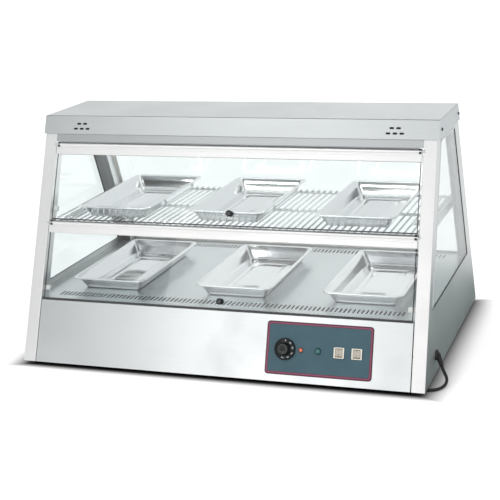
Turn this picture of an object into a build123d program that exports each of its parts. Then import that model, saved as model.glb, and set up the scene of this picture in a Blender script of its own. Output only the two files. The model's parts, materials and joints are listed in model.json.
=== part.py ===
"""Heated display case with two sloped lift-up glass flaps, a wire rack and six trays.

The frame: X to the right, Y to the back, Z up, in millimetres. The origin is on the
surface that the case stands on, under the middle of the body. Heights that are named
"level" are measured up from the underside of the body, which stands on rubber feet.
The front and the back lean in alike, so a place on them is given by its level and by
how far it lies outside the sheet's outer face.
"""

import math
import os

from build123d import *

# Body
BODY_WIDTH = 900.0
BODY_DEPTH = 590.0
BODY_HEIGHT = 513.0
TOP_DEPTH = 194.0
SHEET = 1.2
FOOT_HEIGHT = 8.0
FOOT_RADIUS = 12.0
FOOT_INSET_X = 55.0
FOOT_INSET_Y = 62.0
FOOT_STUD_RADIUS = 2.5
FOOT_STUD_LENGTH = 12.0
BASE_LEVEL = 127.0
OPENING_BELOW_TOP = 56.0
PAN_LIP = 15.0
FLANGE = 24.0
PANEL_GAP = 1.5

# Side frames: pillars, window, hinge notches
PILLAR_WIDTH = 28.8
PILLAR_DEPTH = 32.0
TOP_FLANGE = 20.0
RETURN_CLEARANCE = 0.5
WINDOW_ABOVE_BASE = 14.0
WINDOW_BELOW_TOP = 46.0
WINDOW_FRONT_MARGIN = 32.0
WINDOW_REAR_MARGIN = 45.0
WINDOW_RADIUS = 6.0
NOTCH_DEPTH = 5.0
NOTCH_HEIGHT = 13.0

# Glass and its rubber
GLASS = 4.0
RUBBER_LIP = 1.0
RUBBER_WEB = 1.0
RUBBER_OVER_GLASS = 2.5
RUBBER_OVER_SHEET = 1.0
REAR_GLASS_SETBACK = 2.0
REAR_RUBBER_WIDTH = 6.0

# Cap
CAP_OVERHANG = 3.0
CAP_SKIRT = 39.0
VENT_LENGTH = 10.0
VENT_HEIGHT = 4.5
VENT_PITCH_X = 14.5
VENT_FROM_SIDE = 90.0
VENT_BELOW_TOP = 28.8
VENT_ROW_PITCH = 10.5
CAP_SCREW_RADIUS = 2.0
CAP_SCREW_HEAD_RADIUS = 3.5
CAP_SCREW_HEAD = 2.0
CAP_SCREW_BELOW_TOP = 23.0
CAP_SCREW_FRONT_INSET = 15.0
CAP_SCREW_REAR_OUTSET = 4.0

# Flaps
BEAD_RADIUS = 5.0
BEAD_SETBACK = 4.0
HINGE_GAP = 1.1
FLAP_GAP = 3.5
EDGE_GAP = 2.7
FLAP_SIDE_GAP = 2.4
BAND_TOP = 6.5
BAND_BOTTOM = 22.0
BAND_THICKNESS = 9.0
GLASS_SLOT_TOP = 10.0
NECK_THICKNESS = 5.0
END_CAP = 2.2
PIN_RADIUS = 2.5
PIN_CLEARANCE = 0.1
PIN_IN_BEAD = 12.0
PIN_REACH = 3.5
KNOB_RADIUS = 8.5
KNOB_LENGTH = 10.0
KNOB_COLLAR_RADIUS = 7.5
KNOB_WAIST_RADIUS = 6.0
KNOB_STUD_RADIUS = 3.0
KNOB_WASHER_RADIUS = 7.0
KNOB_WASHER = 3.0
UPPER_KNOB = (9.0, 26.0)
LOWER_KNOB = (2.5, 16.0)
STOP_WIDTH = 16.0
STOP_HEIGHT = 11.0
STOP_THICKNESS = 8.0
STOP_ABOVE_EDGE = 23.5
REST_GAP = 0.3

# Shelves
PLATE = 1.5
PLATE_SETBACK = 10.0
PLATE_SIDE_GAP = 1.0
PLATE_RETURN_GAP = 0.5
SLOT_LENGTH = 26.0
SLOT_WIDTH = 4.0
SLOT_COUNT = 83
SLOT_ROW_INSET = 42.4
SLOT_END_INSET = 31.7
RACK_ABOVE_HINGE = 3.7555
RACK_END_GAP = 13.07
RACK_SIDE_GAP = 3.2
RACK_WIRE_RADIUS = 2.0
RACK_WIRE_COUNT = 57
CROSS_WIRE_RADIUS = 3.0
CROSS_WIRE_INSET = 4.0
WELD_DEPTH = 0.4
LEDGE_WIDTH = 18.0
LEDGE_DROP = 18.0
LEDGE_OVER_RACK = 2.0

# Trays
TRAY_WIDTH = 176.0
TRAY_SHORT_OF_RACK = 11.0
TRAY_HEIGHT = 28.0
TRAY_SHEET = 0.8
TRAY_CORNER = 17.0
TRAY_FLOOR_CORNER = 8.0
TRAY_RIM = 7.0
TRAY_RIM_DROP = 3.0
TRAY_TAPER = 28.0
TRAY_PANEL_SIDE_INSET = 24.0
TRAY_PANEL_END_INSET = 38.0
TRAY_PANEL_SIDE_STEP = 14.0
TRAY_PANEL_END_STEP = 26.0
TRAY_PANEL_RISE = 2.0
LOWER_TRAY_X = (-291.0, 6.0, 295.0)
LOWER_TRAY_Y = -19.0
UPPER_TRAY_X = (-275.0, -8.0, 280.0)
UPPER_TRAY_Y = 0.0

# Control panel
CONTROL_FROM_SIDE = 337.7
CONTROL_WIDTH = 227.7
CONTROL_HEIGHT = 108.7
CONTROL_CENTRE_LEVEL = 64.0
CONTROL_PLATE = 1.0
CONTROL_RADIUS = 7.0
CONTROLS_LEVEL = 62.0
DIAL_FROM_SIDE = 296.0
DIAL_RADIUS = 22.5
DIAL_SKIRT = 4.0
DIAL_GRIP_RADIUS = 14.0
DIAL_GRIP_HEIGHT = 14.0
DIAL_BAR_WIDTH = 7.0
DIAL_BAR_HEIGHT = 3.5
DIAL_GAP = 0.6
SPINDLE_RADIUS = 3.0
SPINDLE_CLEARANCE = 0.1
SPINDLE_IN_KNOB = 11.0
SPINDLE_IN_BODY = 12.0
THERMOSTAT_WIDTH = 44.0
THERMOSTAT_HEIGHT = 36.0
THERMOSTAT_DEPTH = 26.0
BUSHING_RADIUS = 5.0
HOLE_CLEARANCE = 0.3
ORANGE_LAMP_FROM_SIDE = 261.9
ORANGE_LAMP_RADIUS = 5.0
GREEN_LAMP_FROM_SIDE = 225.5
GREEN_LAMP_RADIUS = 7.0
PILOT_DEPTH = 22.0
PILOT_LENS = 3.0
PILOT_LIP = 1.0
SWITCHES_FROM_SIDE = (180.7, 143.1)
SWITCH_BEZEL = 22.0
SWITCH_BEZEL_HEIGHT = 1.8
SWITCH_BODY = 19.4
SWITCH_DEPTH = 20.0
ROCKER_RADIUS = 8.2
ROCKER_WIDTH = 14.0
ROCKER_CLEARANCE = 0.4
ROCKER_TILT = 8.0
ROCKER_VALLEY = 3.6
ROCKER_CREST = 5.6
ROCKER_BASE = 3.0
ROCKER_PIVOT_RADIUS = 1.5
ROCKER_PIVOT_REACH = 1.4

# Inside the base and under the cap
HEATER_RADIUS = 4.0
HEATER_SPAN = 120.0
HEATER_LENGTH = 350.0
HEATER_CENTRE_X = 215.0
HEATER_CENTRE_Y = 70.0
HEATER_LEVEL = 70.0
HEATER_BEND = 40.0
HEATER_STAND_INSET = 60.0
HEATER_STAND_WIDTH = 30.0
HEATER_STAND_HEAD = 10.0
SHIELD_LEFT_FROM_SIDE = 390.0
SHIELD_RIGHT_FROM_SIDE = 32.0
SHIELD_FRONT_INSET = 70.0
SHIELD_BACK_INSET = 220.0
SHIELD_TOP_LEVEL = 105.0
SHIELD_FOOT = 12.0
TERMINAL_SIZE = (60.0, 22.0, 18.0)
TERMINAL_HOLES = 5
TERMINAL_HOLE_RADIUS = 3.0
TERMINAL_PITCH = 10.0
TERMINAL_FROM_SIDE = 95.0
TERMINAL_INSET = 170.0
BULB_RADIUS = 3.0
BULB_LENGTH = 90.0
BULB_INSET = 235.0
CAPILLARY_RADIUS = 0.9
PIPE_RISE = 16.0
PIPE_FRONT_INSET = 103.0
PIPE_TURN_INSET = 191.0
PIPE_TURN = 44.0
PIPE_BEND = 8.0
BATTEN_WIDTH = 50.0
BATTEN_HEIGHT = 16.0
BATTEN_END_GAP = 60.0
TUBE_RADIUS = 8.0
TUBE_LENGTH = 700.0
TUBE_PIN_LENGTH = 7.0
TUBE_PIN_RADIUS = 1.2
LAMP_SOCKET_WIDTH = 12.0
LAMP_SOCKET_DEPTH = 24.0
LAMP_TUBE_DROP = 12.0
REAR_VENT_COUNT = 12
REAR_VENT_PITCH = 14.0
REAR_VENT_LENGTH = 45.0
REAR_VENT_WIDTH = 5.0
REAR_VENT_X = -220.0
REAR_VENT_LEVEL = 66.0

# Cord: the sleeve's exit, the route under the case and the coil behind it
CORD_RADIUS = 3.25
GLAND_Y = -183.0
GLAND_LEVEL = 38.0
GLAND_FLANGE_RADIUS = 11.0
GLAND_FLANGE = 4.0
GLAND_NECK_RADIUS = 7.5
GLAND_NUT = 5.0
GLAND_NUT_RADIUS = 11.0
SLEEVE_LENGTH = 26.0
SLEEVE_BASE_RADIUS = 6.0
SLEEVE_TIP_RADIUS = 4.4
SLEEVE_DIRECTION = (0.42, -0.62, -0.66)
CORD_LEAD = 12.0
CORD_ROUTE = (
    (480.8, -222.6, 12.2),
    (480.4, -243.0, 6.3),
    (468.2, -260.0, 3.25),
    (448.4, -267.3, 3.25),
    (427.6, -262.0, 3.25),
    (413.7, -245.7, 3.25),
    (410.9, -220.2, 3.25),
    (420.5, -184.0, 3.25),
    (430.0, -130.0, 3.25),
    (434.0, -60.0, 3.25),
    (433.0, 20.0, 3.25),
    (428.5, 95.0, 3.25),
    (421.0, 165.0, 3.25),
    (413.0, 232.0, 3.25),
    (409.5, 300.0, 3.25),
)
COIL_X = 366.0
COIL_Y = 368.0
COIL_INNER_RADIUS = 28.4
COIL_TURNS = 4.25
COIL_PITCH = 7.1
COIL_STEPS_PER_TURN = 4
COIL_CLIMB_TURNS = 0.5
PLUG_SLEEVE = 32.0
PLUG_SLEEVE_RADIUS = 5.6
PLUG_SLEEVE_TIP_RADIUS = 4.25
PLUG_LENGTH = 36.0
PLUG_WIDTH = 28.0
PLUG_PIN_LENGTH = 18.0
PLUG_PIN_WIDTH = 6.4
PLUG_PIN_THICKNESS = 1.6
PLUG_PIN_SPREAD = 7.9
PLUG_PIN_ANGLE = 30.0

# What follows from these sizes
LEAN = math.atan2((BODY_DEPTH - TOP_DEPTH) / 2, BODY_HEIGHT)
COS_LEAN = math.cos(LEAN)
HALF_WIDTH = BODY_WIDTH / 2
FRONT_Y = -BODY_DEPTH / 2
FRAME_TOP = BODY_HEIGHT - SHEET
OPENING_HALF = HALF_WIDTH - PILLAR_WIDTH
INNER_HALF = HALF_WIDTH - SHEET
PLATE_TOP_LEVEL = BASE_LEVEL + PLATE
OPENING_TOP_LEVEL = BODY_HEIGHT - OPENING_BELOW_TOP
WINDOW_BOTTOM_LEVEL = BASE_LEVEL + WINDOW_ABOVE_BASE
WINDOW_TOP_LEVEL = BODY_HEIGHT - WINDOW_BELOW_TOP
VENT_CENTRE_X = HALF_WIDTH - VENT_FROM_SIDE
VENT_LOW_LEVEL = BODY_HEIGHT - VENT_BELOW_TOP
CAP_SCREW_LEVEL = BODY_HEIGHT - CAP_SCREW_BELOW_TOP
CAP_SCREW_FRONT_Y = CAP_SCREW_FRONT_INSET - TOP_DEPTH / 2
CAP_SCREW_REAR_Y = CAP_SCREW_REAR_OUTSET + TOP_DEPTH / 2
SLOT_PITCH = 2 * (OPENING_HALF - SLOT_END_INSET) / (SLOT_COUNT - 1)
CONTROL_LEFT_X = HALF_WIDTH - CONTROL_FROM_SIDE
DIAL_X = HALF_WIDTH - DIAL_FROM_SIDE
ORANGE_LAMP_X = HALF_WIDTH - ORANGE_LAMP_FROM_SIDE
GREEN_LAMP_X = HALF_WIDTH - GREEN_LAMP_FROM_SIDE
SWITCH_X = tuple(HALF_WIDTH - place for place in SWITCHES_FROM_SIDE)
SHIELD_LEFT_X = HALF_WIDTH - SHIELD_LEFT_FROM_SIDE
SHIELD_RIGHT_X = HALF_WIDTH - SHIELD_RIGHT_FROM_SIDE
SHIELD_FRONT_Y = FRONT_Y + SHIELD_FRONT_INSET
SHIELD_BACK_Y = FRONT_Y + SHIELD_BACK_INSET
TERMINAL_X = HALF_WIDTH - TERMINAL_FROM_SIDE
TERMINAL_Y = FRONT_Y + TERMINAL_INSET
BULB_Y = FRONT_Y + BULB_INSET
PIPE_FRONT_Y = FRONT_Y + PIPE_FRONT_INSET
PIPE_TURN_Y = FRONT_Y + PIPE_TURN_INSET
BATTEN_LENGTH = BODY_WIDTH - 2 * BATTEN_END_GAP
RAIL_HALF = OPENING_HALF - FLAP_SIDE_GAP - END_CAP
COIL_OUTER_RADIUS = COIL_INNER_RADIUS + COIL_PITCH * COIL_TURNS / 2

FRONT = Plane(
    origin=(0, FRONT_Y, FOOT_HEIGHT),
    x_dir=(1, 0, 0),
    z_dir=(0, -math.cos(LEAN), math.sin(LEAN)),
)


def along_slope(level):
    """Distance up the sloped face for a level."""
    return level / COS_LEAN


def half_depth(level, out=0.0):
    """Half depth at a level of the face that lies this far outside the sheet's face."""
    lost = (BODY_DEPTH - TOP_DEPTH) / 2 * level / BODY_HEIGHT
    return BODY_DEPTH / 2 - lost + out / COS_LEAN


# The two hinge axes share out the opening between the base and the top rail
UPPER_AXIS = along_slope(OPENING_TOP_LEVEL) - (BEAD_RADIUS + HINGE_GAP) / COS_LEAN
FLAP_REACH = (UPPER_AXIS - FLAP_GAP - BEAD_RADIUS - along_slope(BASE_LEVEL) - EDGE_GAP) / 2
LOWER_AXIS = UPPER_AXIS - FLAP_REACH - FLAP_GAP - BEAD_RADIUS
GLASS_OUT = -BEAD_SETBACK - GLASS / 2

# The rack stands level with the lower hinge, and the trays fit on it
RACK_TOP_LEVEL = LOWER_AXIS * COS_LEAN + RACK_ABOVE_HINGE
RACK_DEPTH = 2 * (half_depth(RACK_TOP_LEVEL) - RACK_END_GAP)
CROSS_WIRE_LEVEL = RACK_TOP_LEVEL - 2 * RACK_WIRE_RADIUS + WELD_DEPTH - CROSS_WIRE_RADIUS
LEDGE_LEVEL = CROSS_WIRE_LEVEL - CROSS_WIRE_RADIUS - REST_GAP
LEDGE_LENGTH = RACK_DEPTH + 2 * LEDGE_OVER_RACK
TRAY_DEPTH = RACK_DEPTH - 2 * TRAY_SHORT_OF_RACK
SLOT_ROW_Y = half_depth(PLATE_TOP_LEVEL) - SLOT_ROW_INSET


def block(x0, x1, y0, y1, z0, z1):
    """A box between two corners."""
    centre = Pos((x0 + x1) / 2, (y0 + y1) / 2, (z0 + z1) / 2)
    return centre * Box(x1 - x0, y1 - y0, z1 - z0)


def side_prism(outline, x0, x1, radius=0.0):
    """A solid with one outline of (y, level) points, seen from the side."""
    points = [(y, FOOT_HEIGHT + level) for y, level in outline]
    face = Plane.YZ.offset(x0) * Polygon(*points, align=None)
    if radius:
        face = fillet(face.vertices(), radius)
    return extrude(face, amount=x1 - x0, dir=(1, 0, 0))


def sloped_slab(x0, x1, level0, level1, out0, out1, side=-1):
    """A slab in the sloped front (side -1) or back (side 1), cut level at both ends."""
    outline = (
        (side * half_depth(level0, out0), level0),
        (side * half_depth(level1, out0), level1),
        (side * half_depth(level1, out1), level1),
        (side * half_depth(level0, out1), level0),
    )
    return side_prism(outline, x0, x1)


def on_front(x, slope, out=0.0):
    """A place on the front: across, up the slope and out from the sheet's face."""
    return FRONT.location * Pos(x, slope, out)


def front_block(x0, x1, slope0, slope1, out0, out1):
    """A box that is square to the sloped front."""
    centre = on_front((x0 + x1) / 2, (slope0 + slope1) / 2, (out0 + out1) / 2)
    return centre * Box(x1 - x0, slope1 - slope0, out1 - out0)


def front_cylinder(x, slope, radius, out0, out1):
    """A cylinder that is square to the sloped front."""
    return on_front(x, slope, (out0 + out1) / 2) * Cylinder(radius, out1 - out0)


def cylinder_x(x0, x1, y, z, radius):
    """A cylinder along X."""
    return Pos((x0 + x1) / 2, y, z) * Rot(0, 90, 0) * Cylinder(radius, x1 - x0)


def left_of(shape):
    """The left-hand copy of a right-hand piece."""
    return mirror(shape, Plane.YZ)


def window_outline(inset):
    """The side window's outline, moved inwards on every side."""
    low = WINDOW_BOTTOM_LEVEL + inset
    high = WINDOW_TOP_LEVEL - inset
    front = -WINDOW_FRONT_MARGIN - inset
    rear = -WINDOW_REAR_MARGIN - inset
    return (
        (-half_depth(low, front), low),
        (-half_depth(high, front), high),
        (half_depth(high, rear), high),
        (half_depth(low, rear), low),
    )


def window_prism(inset, x0, x1):
    """A solid in the shape of the side window."""
    return side_prism(window_outline(inset), x0, x1, WINDOW_RADIUS - inset)


def hinge_point(axis):
    """(y, z) of a flap's hinge axis."""
    place = on_front(0, axis, -BEAD_SETBACK).position
    return place.Y, place.Z


def side_frame(with_gland):
    """One bent sheet: side wall with its window, two pillar faces and their returns."""
    outline = (
        (-half_depth(0), 0),
        (-half_depth(FRAME_TOP), FRAME_TOP),
        (half_depth(FRAME_TOP), FRAME_TOP),
        (half_depth(0), 0),
    )
    outer = HALF_WIDTH
    frame = side_prism(outline, INNER_HALF, outer) - window_prism(0, INNER_HALF - 1, outer + 1)
    return_level = PAN_LIP + RETURN_CLEARANCE
    for side in (-1, 1):
        frame += sloped_slab(OPENING_HALF, outer, 0, FRAME_TOP, -SHEET, 0, side)
        frame += sloped_slab(
            OPENING_HALF, OPENING_HALF + SHEET, return_level, FRAME_TOP, -PILLAR_DEPTH, 0, side
        )
    depth = half_depth(FRAME_TOP)
    top = FOOT_HEIGHT + FRAME_TOP
    frame += block(outer - TOP_FLANGE, outer, -depth, depth, top - SHEET, top)
    for axis in (LOWER_AXIS, UPPER_AXIS):
        y, z = hinge_point(axis)
        bore = PIN_RADIUS + PIN_CLEARANCE
        frame -= cylinder_x(OPENING_HALF - 1, OPENING_HALF + SHEET + 1, y, z, bore)
        frame -= hinge_notch(axis)
    for y in (CAP_SCREW_FRONT_Y, CAP_SCREW_REAR_Y):
        z = FOOT_HEIGHT + CAP_SCREW_LEVEL
        frame -= cylinder_x(INNER_HALF - 1, outer + 1, y, z, CAP_SCREW_RADIUS)
    if with_gland:
        z = FOOT_HEIGHT + GLAND_LEVEL
        frame -= cylinder_x(INNER_HALF - 1, outer + 1, GLAND_Y, z, GLAND_NECK_RADIUS)
    return frame


def hinge_notch(axis):
    """The V cut in a pillar's face beside a hinge pin."""
    outline = Polygon(
        (OPENING_HALF, axis + NOTCH_HEIGHT / 2),
        (OPENING_HALF + NOTCH_DEPTH, axis),
        (OPENING_HALF, axis - NOTCH_HEIGHT / 2),
        align=None,
    )
    return extrude(FRONT.offset(-2 * SHEET) * outline, amount=4 * SHEET, dir=FRONT.z_dir)


def base_pan():
    """The floor sheet with a lip on all four sides."""
    tray = body_prism(0, PAN_LIP, -SHEET, INNER_HALF)
    tray -= body_prism(SHEET, PAN_LIP, -2 * SHEET, INNER_HALF - SHEET)
    for x, y in foot_places():
        tray -= Pos(x, y, FOOT_HEIGHT) * Cylinder(FOOT_STUD_RADIUS, 4 * SHEET)
    return tray


def body_prism(level0, level1, out, half_width):
    """A solid that follows both slopes between two levels."""
    outline = (
        (-half_depth(level0, out), level0),
        (-half_depth(level1, out), level1),
        (half_depth(level1, out), level1),
        (half_depth(level0, out), level0),
    )
    return side_prism(outline, -half_width, half_width)


def foot_places():
    """(x, y) of the four feet."""
    x = HALF_WIDTH - FOOT_INSET_X
    y = BODY_DEPTH / 2 - FOOT_INSET_Y
    return [(i * x, j * y) for i in (-1, 1) for j in (-1, 1)]


def feet():
    """Four rubber feet, each with its stud through the pan."""
    made = []
    for x, y in foot_places():
        pad = Pos(x, y, FOOT_HEIGHT / 2) * Cylinder(FOOT_RADIUS, FOOT_HEIGHT)
        middle = FOOT_HEIGHT + FOOT_STUD_LENGTH / 2
        stud = Pos(x, y, middle) * Cylinder(FOOT_STUD_RADIUS, FOOT_STUD_LENGTH)
        made.append(pad + stud)
    return Compound(children=made)


def base_panel(side):
    """A sloped sheet between the pillars with a flange that carries the plate."""
    half = OPENING_HALF - PANEL_GAP
    sheet = sloped_slab(-half, half, 0, BASE_LEVEL, -SHEET, 0, side)
    y_inner = half_depth(BASE_LEVEL, -SHEET - FLANGE)
    top = FOOT_HEIGHT + BASE_LEVEL
    ends = sorted((side * y_inner, side * half_depth(BASE_LEVEL, -SHEET / 2)))
    flange = block(-half, half, ends[0], ends[1], top - SHEET, top)
    return sheet + flange


def base_front_panel():
    """The front panel with the cut-outs for what the control plate carries."""
    panel = base_panel(-1)
    for cut in control_cutouts(-SHEET - 1, 1):
        panel -= cut
    return panel


def base_rear_panel():
    """The rear panel with a row of upright cooling slots."""
    panel = base_panel(1)
    for i in range(REAR_VENT_COUNT):
        x = REAR_VENT_X + (i - (REAR_VENT_COUNT - 1) / 2) * REAR_VENT_PITCH
        level0 = REAR_VENT_LEVEL - REAR_VENT_LENGTH / 2
        panel -= sloped_slab(
            x - REAR_VENT_WIDTH / 2, x + REAR_VENT_WIDTH / 2, level0, level0 + REAR_VENT_LENGTH,
            -SHEET - 1, 1, 1,
        )
    return panel


def control_slope():
    """Distance up the slope of the row of controls."""
    return along_slope(CONTROLS_LEVEL)


def control_cutouts(out0, out1):
    """The holes for the thermostat, the two pilot lamps and the two switches."""
    slope = control_slope()
    cuts = [front_cylinder(DIAL_X, slope, BUSHING_RADIUS + HOLE_CLEARANCE, out0, out1)]
    for x, radius in ((ORANGE_LAMP_X, ORANGE_LAMP_RADIUS), (GREEN_LAMP_X, GREEN_LAMP_RADIUS)):
        cuts.append(front_cylinder(x, slope, radius - PILOT_LIP + HOLE_CLEARANCE, out0, out1))
    half = SWITCH_BODY / 2 + HOLE_CLEARANCE
    for x in SWITCH_X:
        cuts.append(front_block(x - half, x + half, slope - half, slope + half, out0, out1))
    return cuts


def control_plate():
    """The thin plate that carries the controls."""
    x = CONTROL_LEFT_X + CONTROL_WIDTH / 2
    outline = RectangleRounded(CONTROL_WIDTH, CONTROL_HEIGHT, CONTROL_RADIUS)
    plate = extrude(on_front(x, along_slope(CONTROL_CENTRE_LEVEL)) * outline, amount=CONTROL_PLATE)
    for cut in control_cutouts(-1, CONTROL_PLATE + 1):
        plate -= cut
    return plate


def top_rail(side):
    """The sheet channel between the pillars under the cap."""
    face = sloped_slab(-OPENING_HALF, OPENING_HALF, OPENING_TOP_LEVEL, FRAME_TOP, -SHEET, 0, side)
    foot = sloped_slab(
        -OPENING_HALF, OPENING_HALF, OPENING_TOP_LEVEL, OPENING_TOP_LEVEL + SHEET,
        -PILLAR_DEPTH, 0, side,
    )
    return face + foot


def top_cap():
    """The folded cap: flat top, four skirts and the vent slots in its front."""
    skirt_level = BODY_HEIGHT - CAP_SKIRT
    half = HALF_WIDTH + CAP_OVERHANG
    cap = body_prism(skirt_level, BODY_HEIGHT, CAP_OVERHANG, half)
    cap -= body_prism(skirt_level, FRAME_TOP, CAP_OVERHANG - SHEET, half - SHEET)
    for x, level in vent_places():
        slot = on_front(x, along_slope(level)) * SlotOverall(VENT_LENGTH, VENT_HEIGHT)
        cap -= extrude(slot, amount=CAP_OVERHANG + 1)
    for y in (CAP_SCREW_FRONT_Y, CAP_SCREW_REAR_Y):
        cap -= cylinder_x(-half - 1, half + 1, y, FOOT_HEIGHT + CAP_SCREW_LEVEL, CAP_SCREW_RADIUS)
    return cap


def vent_places():
    """(x, level) of the vent slots: two above three at each end of the front."""
    places = []
    for side in (-1, 1):
        centre = side * VENT_CENTRE_X
        for i in (-1, 0, 1):
            places.append((centre + i * VENT_PITCH_X, VENT_LOW_LEVEL))
        for i in (-0.5, 0.5):
            places.append((centre + i * VENT_PITCH_X, VENT_LOW_LEVEL + VENT_ROW_PITCH))
    return places


def cap_screws():
    """Four screws that hold the cap's end skirts to the side frames."""
    outer = HALF_WIDTH + CAP_OVERHANG
    z = FOOT_HEIGHT + CAP_SCREW_LEVEL
    made = []
    for y in (CAP_SCREW_FRONT_Y, CAP_SCREW_REAR_Y):
        screw = cylinder_x(outer, outer + CAP_SCREW_HEAD, y, z, CAP_SCREW_HEAD_RADIUS)
        screw += cylinder_x(INNER_HALF - SHEET, outer, y, z, CAP_SCREW_RADIUS)
        made += [screw, left_of(screw)]
    return Compound(children=made)


def side_glass():
    """The right-hand side pane."""
    outer = HALF_WIDTH
    return window_prism(RUBBER_WEB, outer - GLASS, outer)


def side_gasket():
    """The right-hand rubber: it grips the window's edge and the pane."""
    outer = HALF_WIDTH
    inner = outer - GLASS
    rubber = window_prism(-RUBBER_OVER_SHEET, outer, outer + RUBBER_LIP)
    rubber += window_prism(0, inner - RUBBER_LIP, outer)
    rubber += window_prism(-RUBBER_OVER_SHEET, INNER_HALF - RUBBER_LIP, INNER_HALF)
    rubber -= window_prism(RUBBER_WEB, inner, outer)
    rubber -= window_prism(RUBBER_OVER_GLASS, inner - RUBBER_LIP - 1, outer + RUBBER_LIP + 1)
    return rubber


def rear_frame_slab(inset, out0, out1):
    """A slab that fills the rear opening less an inset."""
    half = OPENING_HALF - inset
    low = BASE_LEVEL + inset
    high = OPENING_TOP_LEVEL - inset
    return sloped_slab(-half, half, low, high, out0, out1, 1)


def rear_glass():
    """The fixed rear pane."""
    outer = -REAR_GLASS_SETBACK
    return rear_frame_slab(RUBBER_WEB, outer - GLASS, outer)


def rear_gasket():
    """The rubber round the rear pane."""
    outer = -REAR_GLASS_SETBACK
    lip0 = outer - GLASS - RUBBER_LIP
    lip1 = outer + RUBBER_LIP
    rubber = rear_frame_slab(0, lip0, lip1)
    rubber -= rear_frame_slab(RUBBER_WEB, outer - GLASS, outer)
    return rubber - rear_frame_slab(REAR_RUBBER_WIDTH, lip0 - 1, lip1 + 1)


def rail_section(axis, x0):
    """The flap rail's section on a plane square to X, bead up and glass slot down."""
    centre = on_front(x0, axis, -BEAD_SETBACK).position
    plane = Plane(origin=centre, x_dir=FRONT.y_dir, z_dir=(1, 0, 0))
    bead = Circle(BEAD_RADIUS)
    neck = Pos(-BAND_TOP / 2, 0) * Rectangle(BAND_TOP, NECK_THICKNESS)
    band = Rectangle(BAND_BOTTOM - BAND_TOP, BAND_THICKNESS)
    band = Pos(-(BAND_TOP + BAND_BOTTOM) / 2, 0) * band
    return plane, bead + neck + band


def flap_rail(axis):
    """The aluminium rail along the top of a flap."""
    plane, section = rail_section(axis, -RAIL_HALF)
    slot = Rectangle(BAND_BOTTOM - GLASS_SLOT_TOP, GLASS)
    slot = Pos(-(GLASS_SLOT_TOP + BAND_BOTTOM) / 2, 0) * slot
    rail = extrude(plane * (section - slot), amount=2 * RAIL_HALF)
    y, z = hinge_point(axis)
    for side in (-1, 1):
        ends = sorted((side * (RAIL_HALF - PIN_IN_BEAD), side * (RAIL_HALF + 1)))
        rail -= cylinder_x(ends[0], ends[1], y, z, PIN_RADIUS)
    return rail


def flap_ends(axis):
    """The black end covers of a rail, each with its hinge pin."""
    y, z = hinge_point(axis)
    plane, section = rail_section(axis, RAIL_HALF)
    cover = extrude(plane * section, amount=END_CAP)
    pin_end = OPENING_HALF + SHEET + PIN_REACH
    cover += cylinder_x(RAIL_HALF - PIN_IN_BEAD, pin_end, y, z, PIN_RADIUS)
    return Compound(children=[cover, left_of(cover)])


def flap_glass(axis, knob_place):
    """A flap's pane with the hole for its knob, which is placed by (x, height above the edge)."""
    x, above_edge = knob_place
    edge = axis - FLAP_REACH
    pane = front_block(
        -RAIL_HALF, RAIL_HALF, edge, axis - GLASS_SLOT_TOP, GLASS_OUT, GLASS_OUT + GLASS
    )
    slope = edge + above_edge
    return pane - front_cylinder(x, slope, KNOB_STUD_RADIUS, GLASS_OUT - 1, GLASS_OUT + GLASS + 1)


def flap_knob(axis, knob_place):
    """A waisted knob with its stud through the pane and a nut behind it."""
    x, above_edge = knob_place
    slope = axis - FLAP_REACH + above_edge
    front = GLASS_OUT + GLASS
    third = KNOB_LENGTH / 3
    knob = front_cylinder(x, slope, KNOB_COLLAR_RADIUS, front, front + third)
    knob += front_cylinder(x, slope, KNOB_WAIST_RADIUS, front + third, front + 2 * third)
    knob += front_cylinder(x, slope, KNOB_RADIUS, front + 2 * third, front + KNOB_LENGTH)
    knob += front_cylinder(x, slope, KNOB_STUD_RADIUS, GLASS_OUT, front)
    return knob + front_cylinder(x, slope, KNOB_WASHER_RADIUS, GLASS_OUT - KNOB_WASHER, GLASS_OUT)


def flap_stops(axis):
    """The two white buffers that a closed flap's pane rests on."""
    slope = axis - FLAP_REACH + STOP_ABOVE_EDGE
    face = GLASS_OUT - REST_GAP
    stop = front_block(
        OPENING_HALF - STOP_WIDTH, OPENING_HALF, slope - STOP_HEIGHT / 2, slope + STOP_HEIGHT / 2,
        face - STOP_THICKNESS, face,
    )
    return Compound(children=[stop, left_of(stop)])


def shelf_plate():
    """The warm lower shelf with a row of short slots along its front and its back."""
    depth = half_depth(BASE_LEVEL) - PLATE_SETBACK
    return_end = half_depth(PLATE_TOP_LEVEL, -PILLAR_DEPTH) - PLATE_RETURN_GAP
    wide = INNER_HALF - PLATE_SIDE_GAP
    narrow = OPENING_HALF - PLATE_RETURN_GAP
    outline = Rectangle(2 * narrow, 2 * depth) + Rectangle(2 * wide, 2 * return_end)
    slot = Rot(0, 0, 90) * SlotOverall(SLOT_LENGTH, SLOT_WIDTH)
    slots = Sketch() + [
        Pos((i - (SLOT_COUNT - 1) / 2) * SLOT_PITCH, y) * slot
        for i in range(SLOT_COUNT)
        for y in (-SLOT_ROW_Y, SLOT_ROW_Y)
    ]
    return Pos(0, 0, FOOT_HEIGHT + BASE_LEVEL) * extrude(outline - slots, amount=PLATE)


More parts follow.
